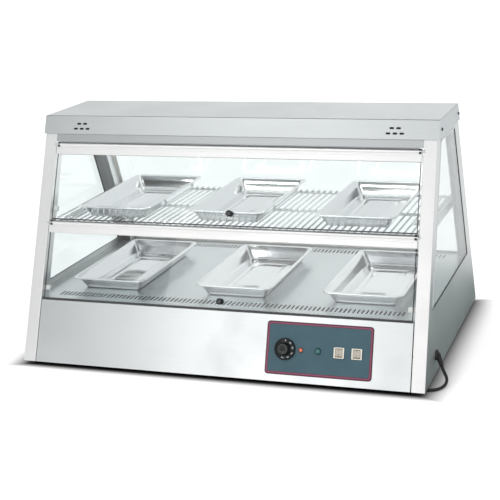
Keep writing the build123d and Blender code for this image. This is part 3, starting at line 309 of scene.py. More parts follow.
def settled(piece: Piece) -> Piece:
    """Turns a piece's modifiers into plain mesh.

    Args:
        piece: the piece.

    Returns:
        The same piece.
    """
    mesh = settled_mesh(piece)
    piece.modifiers.clear()
    piece.data = mesh
    return piece


def sharp_edges(shape: Shape, limit: float) -> list[Edge]:
    """The edges whose two faces meet at more than an angle in radians."""
    return [
        edge for edge in shape.edges
        if len(edge.link_faces) == 2 and edge.calc_face_angle(0.0) > limit
    ]


def long_folds(edges: Sequence[Edge]) -> list[Edge]:
    """Those of the edges that are long, convex and between two wide faces."""
    return [
        edge for edge in edges
        if edge.is_convex
        and edge.calc_length() > FOLD_LENGTH
        and min(face.calc_area() for face in edge.link_faces) > FOLD_LENGTH * FOLD_WIDTH
    ]


def bevelled(shape: Shape, edges: Sequence[Edge], width: float, segments: int) -> None:
    """Rounds edges of a bmesh."""
    bmesh.ops.bevel(
        shape, geom=edges, offset=width, segments=segments, profile=0.5,
        affect="EDGES", clamp_overlap=True,
    )


def softened(node: str, width: float, fold: float = 0.0) -> Piece:
    """A copy of a node with its sharp edges rounded, which then stands for the node.

    Args:
        node: the node that is copied.
        width: how far the rounding reaches from each edge.
        fold: how far it reaches from the long folds between wide faces, if not as far.

    Returns:
        The new piece.
    """
    shape = bmesh.new()
    shape.from_mesh(frame["nodes"][node].data)
    bmesh.ops.remove_doubles(shape, verts=shape.verts, dist=NODE_MERGE)
    bmesh.ops.dissolve_limit(shape, angle_limit=FLAT_EDGE, verts=shape.verts, edges=shape.edges)
    if fold:
        bevelled(shape, long_folds(sharp_edges(shape, BEVELLED_EDGE)), fold, 4)
    bevelled(shape, sharp_edges(shape, BEVELLED_EDGE), width, 2)
    mesh = bpy.data.meshes.new(f"{node}_soft")
    shape.to_mesh(mesh)
    shape.free()
    mesh.shade_smooth()
    piece = linked(f"{node}_soft", mesh)
    weights = piece.modifiers.new("face_weights", "WEIGHTED_NORMAL")
    weights.keep_sharp = True
    settled(piece)
    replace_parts(piece, node)
    return piece


# Shader and Geometry Nodes trees


def feed(tree: Tree, node: Node, inputs: dict[str | int, object]) -> Node:
    """Gives a node its inputs.

    Args:
        tree: the tree that the node is in.
        node: the node.
        inputs: input name or number to a value, or to the socket that feeds it.

    Returns:
        The same node.
    """
    for label, value in inputs.items():
        if isinstance(value, Socket):
            tree.links.new(value, node.inputs[label])
        else:
            node.inputs[label].default_value = value
    return node


def add_node(tree: Tree, kind: str, inputs: dict[str | int, object], **settings: object) -> Node:
    """Adds a node.

    Args:
        tree: the tree that it goes in.
        kind: its type.
        inputs: input name or number to a value, or to the socket that feeds it.
        **settings: its own settings by name, such as its operation.

    Returns:
        The new node.
    """
    node = tree.nodes.new(kind)
    for label, value in settings.items():
        setattr(node, label, value)
    return feed(tree, node, inputs)


def computed(tree: Tree, operation: str, *values: float | Socket) -> Socket:
    """The result of a Math node on numbers or sockets."""
    return add_node(tree, "ShaderNodeMath", dict(enumerate(values)), operation=operation).outputs[0]


def mixed(tree: Tree, factor: Socket, low: object, high: object, kind: str = "FLOAT") -> Socket:
    """The result of a Mix node from low to high, each a value or a socket."""
    inputs = {"Factor": factor, "A": low, "B": high}
    return add_node(tree, "ShaderNodeMix", inputs, data_type=kind).outputs["Result"]


def ranged(
    tree: Tree, value: Socket, low: Sequence[object], high: Sequence[object], kind: str = "SMOOTHSTEP"
) -> Socket:
    """Maps a value: low[0] becomes low[1], and high[0] becomes high[1]."""
    inputs = {
        "Value": value, "From Min": low[0], "To Min": low[1], "From Max": high[0], "To Max": high[1]
    }
    return add_node(tree, "ShaderNodeMapRange", inputs, interpolation_type=kind).outputs["Result"]


def opaque(colour: Colour) -> tuple[float, float, float, float]:
    """A colour with its alpha."""
    return (*colour, 1.0)


def scaled(colour: Colour, factor: float) -> Colour:
    """A colour made lighter or darker."""
    return tuple(min(1.0, channel * factor) for channel in colour)


# Shared shader effects


def shader_group(name: str, inputs: dict[str, tuple[str, float]], outputs: Sequence[str]) -> Tree:
    """Starts a shader node group.

    Args:
        name: the group's name.
        inputs: input name to (socket type, default value); a vector has no default.
        outputs: names of its float outputs.

    Returns:
        The group, with its input and output nodes named source and result.
    """
    tree = bpy.data.node_groups.new(name, "ShaderNodeTree")
    for label, (kind, value) in inputs.items():
        socket = tree.interface.new_socket(label, in_out="INPUT", socket_type=kind)
        if kind == "NodeSocketFloat":
            socket.default_value = value
    for label in outputs:
        tree.interface.new_socket(label, in_out="OUTPUT", socket_type="NodeSocketFloat")
    tree.nodes.new("NodeGroupInput").name = "source"
    tree.nodes.new("NodeGroupOutput").name = "result"
    return tree


def brushed_group() -> Tree:
    """Fine brushed lines: a height and a tone that change across the lines.

    Returns:
        The group.
    """
    tree = shader_group(
        "brushed_lines",
        {"Vector": ("NodeSocketVector", 0.0), "Contrast": ("NodeSocketFloat", 1.0)},
        ("Height", "Tone"),
    )
    source, result = tree.nodes["source"].outputs, tree.nodes["result"]
    fine = add_node(tree, "ShaderNodeTexNoise", {
        "Vector": source["Vector"], "Scale": 6.0, "Detail": 6.0, "Roughness": 0.65,
    }).outputs["Fac"]
    coarse = add_node(tree, "ShaderNodeTexNoise", {
        "Vector": source["Vector"], "Scale": 1.4, "Detail": 3.0,
    }).outputs["Fac"]
    feed(tree, result, {
        "Height": computed(tree, "MULTIPLY", fine, source["Contrast"]),
        "Tone": computed(tree, "MULTIPLY_ADD", fine, 0.5, computed(tree, "MULTIPLY", coarse, 0.5)),
    })
    return tree


def handling_group() -> Tree:
    """Soft smudges, as a mask from 0 to 1.

    Returns:
        The group.
    """
    tree = shader_group(
        "handling_marks",
        {"Vector": ("NodeSocketVector", 0.0), "Scale": ("NodeSocketFloat", 6.0)},
        ("Mask",),
    )
    source, result = tree.nodes["source"].outputs, tree.nodes["result"]
    cloud = add_node(tree, "ShaderNodeTexNoise", {
        "Vector": source["Vector"], "Scale": source["Scale"], "Detail": 4.0, "Distortion": 0.6,
    })
    feed(tree, result, {"Mask": ranged(tree, cloud.outputs["Fac"], (0.35, 0.0), (0.75, 1.0))})
    return tree


def moulded_group() -> Tree:
    """The fine pebble of moulded plastic or rubber, as a height and a tone.

    Returns:
        The group.
    """
    tree = shader_group(
        "moulded_pebble",
        {"Vector": ("NodeSocketVector", 0.0), "Scale": ("NodeSocketFloat", 900.0)},
        ("Height", "Tone"),
    )
    source, result = tree.nodes["source"].outputs, tree.nodes["result"]
    vector = source["Vector"]
    pebble = add_node(
        tree, "ShaderNodeTexVoronoi", {"Vector": vector, "Scale": source["Scale"]}, feature="SMOOTH_F1"
    )
    cloud = add_node(tree, "ShaderNodeTexNoise", {"Vector": vector, "Scale": 40.0})
    feed(tree, result, {"Height": pebble.outputs["Distance"], "Tone": cloud.outputs["Fac"]})
    return tree


@dataclass
class EffectBook:
    """The shared shader groups, each built once."""

    brushed: Tree = field(default_factory=brushed_group)
    handling: Tree = field(default_factory=handling_group)
    moulded: Tree = field(default_factory=moulded_group)


EFFECTS = EffectBook()


# Finishes


@dataclass(frozen=True)
class Finish:
    """What every finish has: a name, a colour and a roughness."""

    name: str
    colour: Colour
    roughness: float

    def build(self) -> bpy.types.Material:
        """Makes the finish's material once.

        Returns:
            The material, or the one that was made before.
        """
        made = bpy.data.materials.get(self.name)
        if made:
            return made
        material = bpy.data.materials.new(self.name)
        material.use_nodes = True
        shader = material.node_tree.nodes["Principled BSDF"]
        colour = opaque(self.colour)
        feed(material.node_tree, shader, {"Base Color": colour, "Roughness": self.roughness})
        material.diffuse_color = colour
        self.dress(material.node_tree, shader)
        return material

    def dress(self, tree: Tree, shader: Node) -> None:
        """Adds what is special to the finish."""

    def effect(
        self, tree: Tree, group: Tree, stretch: Point3 = (1.0, 1.0, 1.0), **values: float
    ) -> Node:
        """Places a shared group on object coordinates.

        Args:
            tree: the material's tree.
            group: the shared group.
            stretch: the scale of its pattern along each axis.
            **values: its float inputs by name.

        Returns:
            The group node.
        """
        place = tree.nodes.new("ShaderNodeTexCoord").outputs["Object"]
        mapping = add_node(tree, "ShaderNodeMapping", {"Vector": place, "Scale": stretch})
        inputs = {"Vector": mapping.outputs["Vector"], **values}
        return add_node(tree, "ShaderNodeGroup", inputs, node_tree=group)

    def roughened(self, tree: Tree, marks: Node, spread: float) -> Socket:
        """The roughness, up to a spread more where the marks are."""
        low, high = (0.0, self.roughness), (1.0, self.roughness + spread)
        return ranged(tree, marks.outputs["Mask"], low, high, "LINEAR")


@dataclass(frozen=True)
class WornFinish(Finish):
    """A finish whose tone, roughness and relief change over the surface."""

    relief: float = 0.01 * MM
    tone_spread: float = 0.06
    roughness_spread: float = 0.08

    def wear(self, tree: Tree, shader: Node, skin: Node, marks: Node) -> None:
        """Feeds the shader.

        Args:
            tree: the material's tree.
            shader: its main shader.
            skin: the group that gives the tone and the height.
            marks: the group that gives the mask of the marks.
        """
        low = opaque(scaled(self.colour, 1.0 - self.tone_spread))
        high = opaque(scaled(self.colour, 1.0 + self.tone_spread))
        bump = add_node(tree, "ShaderNodeBump", {
            "Height": skin.outputs["Height"], "Distance": self.relief, "Strength": 1.0,
        })
        feed(tree, shader, {
            "Base Color": mixed(tree, skin.outputs["Tone"], low, high, "RGBA"),
            "Roughness": self.roughened(tree, marks, self.roughness_spread),
            "Normal": bump.outputs["Normal"],
        })


@dataclass(frozen=True)
class MetalFinish(WornFinish):
    """Brushed, satin or polished metal with handling marks."""

    grain: Grain = Grain.NONE
    marks: float = 7.0

    def dress(self, tree: Tree, shader: Node) -> None:
        """Adds the grain, the tone and the smudges.

        Args:
            tree: the material's tree.
            shader: its main shader.
        """
        feed(tree, shader, {"Metallic": 1.0})
        lines = self.effect(tree, EFFECTS.brushed, self.grain.value, Contrast=1.0)
        self.wear(tree, shader, lines, self.effect(tree, EFFECTS.handling, Scale=self.marks))


@dataclass(frozen=True)
class MouldedFinish(WornFinish):
    """Plastic, rubber or enamel with a fine pebble."""

    relief: float = 0.02 * MM
    tone_spread: float = 0.08
    roughness_spread: float = 0.1
    pebble: float = 900.0
    marks: float = 25.0
    coat: float = 0.0
    coat_roughness: float = 0.08
    specular: float = 0.5

    def dress(self, tree: Tree, shader: Node) -> None:
        """Adds the pebble, a slight tone and any gloss coat.

        Args:
            tree: the material's tree.
            shader: its main shader.
        """
        feed(tree, shader, {
            "Coat Weight": self.coat,
            "Coat Roughness": self.coat_roughness,
            "Specular IOR Level": self.specular,
        })
        skin = self.effect(tree, EFFECTS.moulded, Scale=self.pebble)
        self.wear(tree, shader, skin, self.effect(tree, EFFECTS.handling, Scale=self.marks))


@dataclass(frozen=True)
class GlassFinish(Finish):
    """Clear float glass that lets the light through to what is behind it."""

    index: float = 1.45
    marks: float = 5.0
    haze: float = 0.015

    def dress(self, tree: Tree, shader: Node) -> None:
        """Makes it transmit, with faint smudges, and lets shadow rays pass.

        Args:
            tree: the material's tree.
            shader: its main shader.
        """
        smudges = self.effect(tree, EFFECTS.handling, Scale=self.marks)
        rough = self.roughened(tree, smudges, self.haze)
        feed(tree, shader, {"Transmission Weight": 1.0, "IOR": self.index, "Roughness": rough})
        path = tree.nodes.new("ShaderNodeLightPath")
        clear = add_node(tree, "ShaderNodeBsdfTransparent", {"Color": opaque(self.colour)})
        choose = add_node(tree, "ShaderNodeMixShader", {
            "Fac": path.outputs["Is Shadow Ray"], 1: shader.outputs["BSDF"], 2: clear.outputs["BSDF"],
        })
        feed(tree, tree.nodes["Material Output"], {"Surface": choose.outputs["Shader"]})


@dataclass(frozen=True)
class GlowFinish(Finish):
    """A coloured or opal surface that glows a little."""

    glow: float = 1.0
    coat: float = 1.0
    marks: float = 60.0
    mottle: float = 0.9

    def dress(self, tree: Tree, shader: Node) -> None:
        """Adds the glow, mottled a little, and a gloss coat.

        Args:
            tree: the material's tree.
            shader: its main shader.
        """
        mask = self.effect(tree, EFFECTS.handling, Scale=self.marks).outputs["Mask"]
        low = opaque(scaled(self.colour, self.mottle))
        shade = mixed(tree, mask, opaque(self.colour), low, "RGBA")
        feed(tree, shader, {
            "Coat Weight": self.coat, "Emission Strength": self.glow,
            "Base Color": shade, "Emission Color": shade,
        })


STEEL: Colour = (0.68, 0.715, 0.725)
PALE_STEEL: Colour = (0.90, 0.91, 0.91)

FRONT_STEEL = MetalFinish("steel_front", STEEL, 0.30, grain=Grain.ACROSS)
FRAME_STEEL = MetalFinish("steel_frame", PALE_STEEL, 0.37, grain=Grain.UPRIGHT)
CAP_STEEL = MetalFinish("steel_cap", STEEL, 0.30, grain=Grain.ACROSS)
# A darker copy of the steel for the top rails under the cap: painted shade.
SHADED_RAIL_STEEL = MetalFinish("steel_rail_shaded", scaled(STEEL, 0.80), 0.30, grain=Grain.ACROSS)
PLATE_STEEL = MetalFinish("steel_plate", STEEL, 0.28, grain=Grain.DEEP)
INNER_STEEL = MetalFinish("steel_inner", scaled(STEEL, 0.9), 0.38, grain=Grain.DEEP)
TRAY_STEEL = MetalFinish("steel_tray", (0.86, 0.87, 0.88), 0.11, relief=0.006 * MM, tone_spread=0.03)
WIRE_CHROME = MetalFinish("wire_chrome", (0.80, 0.81, 0.82), 0.12, relief=0.004 * MM)
RAIL_ALUMINIUM = MetalFinish(
    "rail_aluminium", (0.96, 0.97, 0.97), 0.38, grain=Grain.ACROSS, tone_spread=0.02
)
SCREW_STEEL = MetalFinish("screw_steel", (0.50, 0.51, 0.53), 0.25)
HEATER_STEEL = MetalFinish("heater_steel", (0.22, 0.21, 0.20), 0.55, tone_spread=0.25)
# Near-black steel for the base's inner parts: painted shade, so that the plate's slots read dark.
SHADE_DARK_STEEL = MetalFinish("steel_shade_dark", (0.04, 0.04, 0.043), 0.50, grain=Grain.DEEP)
SCREW_BLACK = MetalFinish("screw_black", (0.035, 0.035, 0.038), 0.35)
KNOB_CAP = MetalFinish("knob_cap", (0.10, 0.10, 0.105), 0.34)
BRASS = MetalFinish("pin_brass", (0.78, 0.62, 0.30), 0.22)
PANE = GlassFinish("pane_glass", (0.895, 0.920, 0.920), 0.0)
BLACK_PLASTIC = MouldedFinish("black_plastic", (0.018, 0.018, 0.020), 0.34)
KNOB_BLACK = MouldedFinish("knob_black", (0.007, 0.010, 0.012), 0.32, coat=0.10, specular=0.28)
BLACK_RUBBER = MouldedFinish("black_rubber", (0.020, 0.020, 0.021), 0.65, pebble=700.0)
CORD_BLACK = MouldedFinish("cord_black", (0.022, 0.022, 0.024), 0.42, pebble=1500.0)
WHITE_RUBBER = MouldedFinish("white_rubber", (0.92, 0.92, 0.91), 0.55, tone_spread=0.03)
WHITE_PLASTIC = MouldedFinish("white_plastic", (0.80, 0.79, 0.76), 0.40)
# Dark grey of the strips along the flaps' panes: the glass edge's dark look with painted shade of the
# gap.
EDGE_SHADE_GREY = MouldedFinish("edge_shade_grey", (0.065, 0.066, 0.068), 0.60, pebble=700.0)
GREY_PLASTIC = MouldedFinish("grey_plastic", (0.20, 0.21, 0.22), 0.45)
CREAM_PLASTIC = MouldedFinish("cream_plastic", (0.56, 0.575, 0.53), 0.32, coat=0.3, relief=0.008 * MM)
ROCKER_BEIGE = MouldedFinish("rocker_beige", (0.50, 0.455, 0.375), 0.34, coat=0.2, relief=0.008 * MM)
WHITE_ENAMEL = MouldedFinish("white_enamel", (0.85, 0.85, 0.83), 0.30, pebble=300.0, relief=0.01 * MM)
PANEL_TEAL = MouldedFinish("panel_teal", (0.040, 0.106, 0.138), 0.42, pebble=1200.0, relief=0.008 * MM)
LINE_DARK = MouldedFinish("line_dark", (0.060, 0.012, 0.026), 0.42)
LINE_CRIMSON = MouldedFinish("line_crimson", (0.21, 0.022, 0.066), 0.42)
LINE_DARK_CRIMSON = MouldedFinish("line_dark_crimson", (0.13, 0.022, 0.050), 0.42)
# Pink of the strip down the middle of the crimson border: a painted highlight.
LINE_PINK_HIGHLIGHT = MouldedFinish("line_pink_highlight", (0.36, 0.13, 0.21), 0.42)
MARK_WHITE = MouldedFinish("mark_white", (0.78, 0.78, 0.77), 0.45)
MARK_GREY = MouldedFinish("mark_grey", (0.11, 0.11, 0.105), 0.45)
LENS_ORANGE = GlowFinish("lens_orange", (0.66, 0.15, 0.08), 0.20, glow=0.22)
LENS_GREEN = GlowFinish("lens_green", (0.01, 0.11, 0.11), 0.20, glow=0.04)
LAMP_OPAL = GlowFinish("lamp_opal", (1.0, 0.98, 0.94), 0.30, glow=9.0)


def put_finish(piece: Piece, finish: Finish) -> None:
    """Gives a piece one finish all over.

    Args:
        piece: the piece.
        finish: its finish.
    """
    material = finish.build()
    if piece.data.materials:
        for i in range(len(piece.data.materials)):
            piece.material_slots[i].material = material
    else:
        piece.data.materials.append(material)


def dress_nodes(finish: Finish, *nodes: str) -> None:
    """Gives nodes that show as they are packed their finish.

    Args:
        finish: the finish.
        *nodes: the nodes' names.
    """
    for node in nodes:
        put_finish(frame["nodes"][node], finish)
        LOG.info("node %s as packed", node)


def settle_piece(piece: Piece, finish: Finish, body: str, slot: str) -> Piece:
    """Gives a new piece its finish and its place among the bodies.

    Args:
        piece: the piece.
        finish: its finish.
        body: the body that it rides on.
        slot: its record slot; not used.

    Returns:
        The same piece.
    """
    put_finish(piece, finish)
    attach(piece, body)
    LOG.info("piece %s on %s", piece.name, body)
    return piece


def made(
    name: str, shape: Shape, finish: Finish, body: str, slot: str,
    angle: float = SHARP_EDGE, node: str = "",
) -> Piece:
    """Makes a whole piece from a bmesh.

    Args:
        name: the piece's name.
        shape: the bmesh, which is freed.
        finish: its finish.
        body: the body that it rides on.
        slot: its record slot; not used.
        angle: degrees past which an edge stays crisp.
        node: the node that it stands for, if any.

    Returns:
        The piece.
    """
    piece = piece_from_bmesh(name, shape, angle)
    if node:
        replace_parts(piece, node)
    return settle_piece(piece, finish, body, slot)


# Geometry Nodes for what repeats


def copies_tree(name: str, inputs: dict[str, str]) -> tuple[Tree, Node, Node]:
    """Starts a Geometry Nodes tree whose copies end realized and with a material.

    Args:
        name: the tree's name.
        inputs: input name to socket type, besides Shape and Finish.

    Returns:
        The tree, its input node, and the Instance on Points node to feed.
    """
    tree = bpy.data.node_groups.new(name, "GeometryNodeTree")
    tree.is_modifier = True
    sockets = {
        "Geometry": "NodeSocketGeometry", "Shape": "NodeSocketObject", "Finish": "NodeSocketMaterial",
        **inputs,
    }
    for label, kind in sockets.items():
        tree.interface.new_socket(label, in_out="INPUT", socket_type=kind)
    tree.interface.new_socket("Geometry", in_out="OUTPUT", socket_type="NodeSocketGeometry")
    source = tree.nodes.new("NodeGroupInput")
    shape = add_node(tree, "GeometryNodeObjectInfo", {"Object": source.outputs["Shape"]})
    copies = add_node(tree, "GeometryNodeInstanceOnPoints", {"Instance": shape.outputs["Geometry"]})
    realize = add_node(tree, "GeometryNodeRealizeInstances", {"Geometry": copies.outputs["Instances"]})
    paint = add_node(tree, "GeometryNodeSetMaterial", {
        "Geometry": realize.outputs["Geometry"], "Material": source.outputs["Finish"],
    })
    add_node(tree, "NodeGroupOutput", {"Geometry": paint.outputs["Geometry"]})
    return tree, source, copies


def row_tree() -> Tree:
    """Copies of a shape in a straight row from Start, a Step apart.

    Returns:
        The tree.
    """
    tree, source, copies = copies_tree(
        "copies_in_a_row",
        {"Count": "NodeSocketInt", "Start": "NodeSocketVector", "Step": "NodeSocketVector"},
    )
    line = add_node(tree, "GeometryNodeMeshLine", {
        "Count": source.outputs["Count"],
        "Start Location": source.outputs["Start"],
        "Offset": source.outputs["Step"],
    }, mode="OFFSET")
    feed(tree, copies, {"Points": line.outputs["Mesh"]})
    return tree


def ring_tree() -> Tree:
    """Copies of a shape on an arc about local Z, each turned to face outwards.

    Returns:
        The tree.
    """
    tree, source, copies = copies_tree(
        "copies_round_a_ring",
        {
            "Count": "NodeSocketInt",
            "Radius": "NodeSocketFloat",
            "Start": "NodeSocketFloat",
            "Step": "NodeSocketFloat",
        },
    )
    given = source.outputs
    line = add_node(
        tree, "GeometryNodeMeshLine", {"Count": given["Count"], "Offset": (0.0, 0.0, 0.0)}, mode="OFFSET"
    )
    index = tree.nodes.new("GeometryNodeInputIndex").outputs["Index"]
    angle = computed(tree, "MULTIPLY_ADD", index, given["Step"], given["Start"])
    place = add_node(tree, "ShaderNodeCombineXYZ", {
        "X": computed(tree, "MULTIPLY", computed(tree, "COSINE", angle), given["Radius"]),
        "Y": computed(tree, "MULTIPLY", computed(tree, "SINE", angle), given["Radius"]),
    })
    moved = add_node(tree, "GeometryNodeSetPosition", {
        "Geometry": line.outputs["Mesh"], "Position": place.outputs["Vector"],
    })
    turn = add_node(tree, "ShaderNodeCombineXYZ", {"Z": angle})
    feed(tree, copies, {"Points": moved.outputs["Geometry"], "Rotation": turn.outputs["Vector"]})
    return tree


ROW = row_tree()
RING = ring_tree()


def repeated(
    name: str, tree: Tree, shape: Piece, finish: Finish, place: Matrix, **values: object
) -> Piece:
    """Runs a tree of copies and turns its result into a plain piece.

    Args:
        name: the new piece's name.
        tree: ROW or RING.
        shape: the piece that is copied, which is then deleted.
        finish: the copies' finish.
        place: where the whole goes.
        **values: the tree's other inputs by name.

    Returns:
        The new piece, with plain mesh at the origin.
    """
    piece = linked(name, bpy.data.meshes.new(name))
    modifier = piece.modifiers.new("copies", "NODES")
    modifier.node_group = tree
    sockets = {
        item.name: item.identifier
        for item in tree.interface.items_tree
        if item.item_type == "SOCKET" and item.in_out == "INPUT"
    }
    for label, value in {"Shape": shape, "Finish": finish.build(), **values}.items():
        modifier[sockets[label]] = value
    settled(piece)
    piece.data.transform(place)
    bpy.data.objects.remove(shape)
    return piece


# The object's own sub-assemblies


@dataclass
class Cabinet:
    """The sheet-metal body: sheets with soft folds, panes, gaskets, vents, screws and feet."""

    edge: float = 0.45 * MM
    fold: float = 1.4 * MM
    screw_x: float = 0.453
    screw_height: float = 0.498
    screw_front_y: float = -0.082
    screw_rear_y: float = 0.101
    foot_x: float = 0.395
    foot_y: float = 0.233
    gasket_rear: float = 0.060
    gasket_bottom: float = 4.5 * MM
    vent_x: float = 0.360
    vent_level: float = 0.4895
    vent_half_width: float = 23.0 * MM
    vent_half_height: float = 11.0 * MM
    # Thickness and gap of the black sheets behind the vents, which paint the shade inside them.
    shade_sheet: float = 0.8 * MM
    shade_sheet_gap: float = 0.1 * MM

    def build(self) -> None:
        """Dresses every piece of the body."""
        self.sheets()
        self.plain_parts()
        self.vent_shade_sheets()
        self.screws()
        self.feet()

    def vent_shade_sheets(self) -> None:
        """A black sheet behind each group of vents, between the cap and the rail: painted shade inside
        the vents.
        """
        for name, side in SIDES:
            place = SLOPE.place(side * self.vent_x, SLOPE.along(self.vent_level), self.shade_sheet_gap)
            shade_sheet = rounded_slab(
                self.vent_half_width, self.vent_half_height, self.shade_sheet,
                radius=2.0 * MM, edge=0.2 * MM, place=place,
            )
            made(f"vent_back_{name}", shade_sheet, BLACK_RUBBER, "case", "black_rubber")

    def sheets(self) -> None:
        """Rounds the folds of the sheets and gives them their grain."""
        finishes = {
            "top_cap": CAP_STEEL,
            "side_frame_left": FRAME_STEEL,
            "side_frame_right": FRAME_STEEL,
            "base_front_panel": FRONT_STEEL,
            "base_rear_panel": FRONT_STEEL,
            # The top rails take the darker copy of the steel: painted shade under the cap.
            "top_rail_front": SHADED_RAIL_STEEL,
            "top_rail_rear": SHADED_RAIL_STEEL,
            "rack_ledge_left": INNER_STEEL,
            "rack_ledge_right": INNER_STEEL,
        }
        for node, finish in finishes.items():
            settle_piece(softened(node, self.edge, self.fold), finish, "case", "stainless")
        for name, _ in SIDES:
            self.side_gasket(f"side_gasket_{name}")

    def plain_parts(self) -> None:
        """Dresses the parts of the body that show as they are packed."""
        dress_nodes(PLATE_STEEL, "shelf_plate")
        # The base's inner parts take the near-black steel: painted shade under the plate.
        dress_nodes(SHADE_DARK_STEEL, "base_pan", "heat_shield", "heater_stands")
        dress_nodes(WHITE_RUBBER, "rear_gasket")
        dress_nodes(PANE, "side_glass_left", "side_glass_right", "rear_glass")

    def side_gasket(self, node: str) -> None:
        """A side gasket: black along the bottom and the rear, and pale steel on the rest as a painted
        highlight along its front and top.

        Args:
            node: the gasket's node.
        """
        gasket = softened(node, width=0.2 * MM)
        settle_piece(gasket, BLACK_RUBBER, "case", "black_rubber")
        # The pale steel on the gasket's front and top is a painted highlight.
        gasket.data.materials.append(FRAME_STEEL.build())
        low = min(vertex.co.z for vertex in gasket.data.vertices)
        for face in gasket.data.polygons:
            y, z = face.center.y, face.center.z
            along_rear = y > 0 and SLOPE.half_depth(z) - y < self.gasket_rear
            along_bottom = z < low + self.gasket_bottom
            face.material_index = 0 if along_rear or along_bottom else 1

    def front_to_back_pair(
        self, node: str, name: str, shape: Shape, finish: Finish, slot: str,
        start: Point3, gap: float,
    ) -> None:
        """Two like pieces, one behind the other, that stand for part of a node.

        Args:
            node: the node.
            name: the new piece's name.
            shape: one of the two.
            finish: their finish.
            slot: their record slot; not used.
            start: where the front one is.
            gap: how far behind it the other one is.
        """
        one = piece_from_bmesh(f"{name}_one", shape)
        pair = repeated(name, ROW, one, finish, Matrix(), Count=2, Start=start, Step=(0.0, gap, 0.0))
        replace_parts(settle_piece(pair, finish, "case", slot), node)

    def screws(self) -> None:
        """Four pan-head screws in the cap's end skirts."""
        profile = in_mm((
            (0.0, 0.0), (3.5, 0.0), (3.5, 0.7), (3.1, 1.4), (2.0, 1.9), (1.0, 2.0), (0.0, 2.0),
        ))
        gap = self.screw_rear_y - self.screw_front_y
        for name, side in SIDES:
            head = lathe(profile, rotation(90 * side, "Y"), segments=28)
            start = (side * self.screw_x, self.screw_front_y, self.screw_height)
            self.front_to_back_pair(
                "cap_screws", f"cap_screws_{name}", head, SCREW_BLACK, "screw_steel", start, gap
            )

    def feet(self) -> None:
        """Four rubber feet with a soft rim."""
        profile = in_mm((
            (0.0, 0.0), (10.6, 0.0), (11.6, 0.5), (12.0, 1.5), (11.6, 5.0), (10.8, 7.6), (10.4, 8.0),
            (0.0, 8.0),
        ))
        for name, side in SIDES:
            foot = lathe(profile, Matrix(), segments=40)
            start = (side * self.foot_x, -self.foot_y, 0.0)
            self.front_to_back_pair(
                "feet", f"feet_{name}", foot, BLACK_RUBBER, "black_rubber", start, 2 * self.foot_y
            )


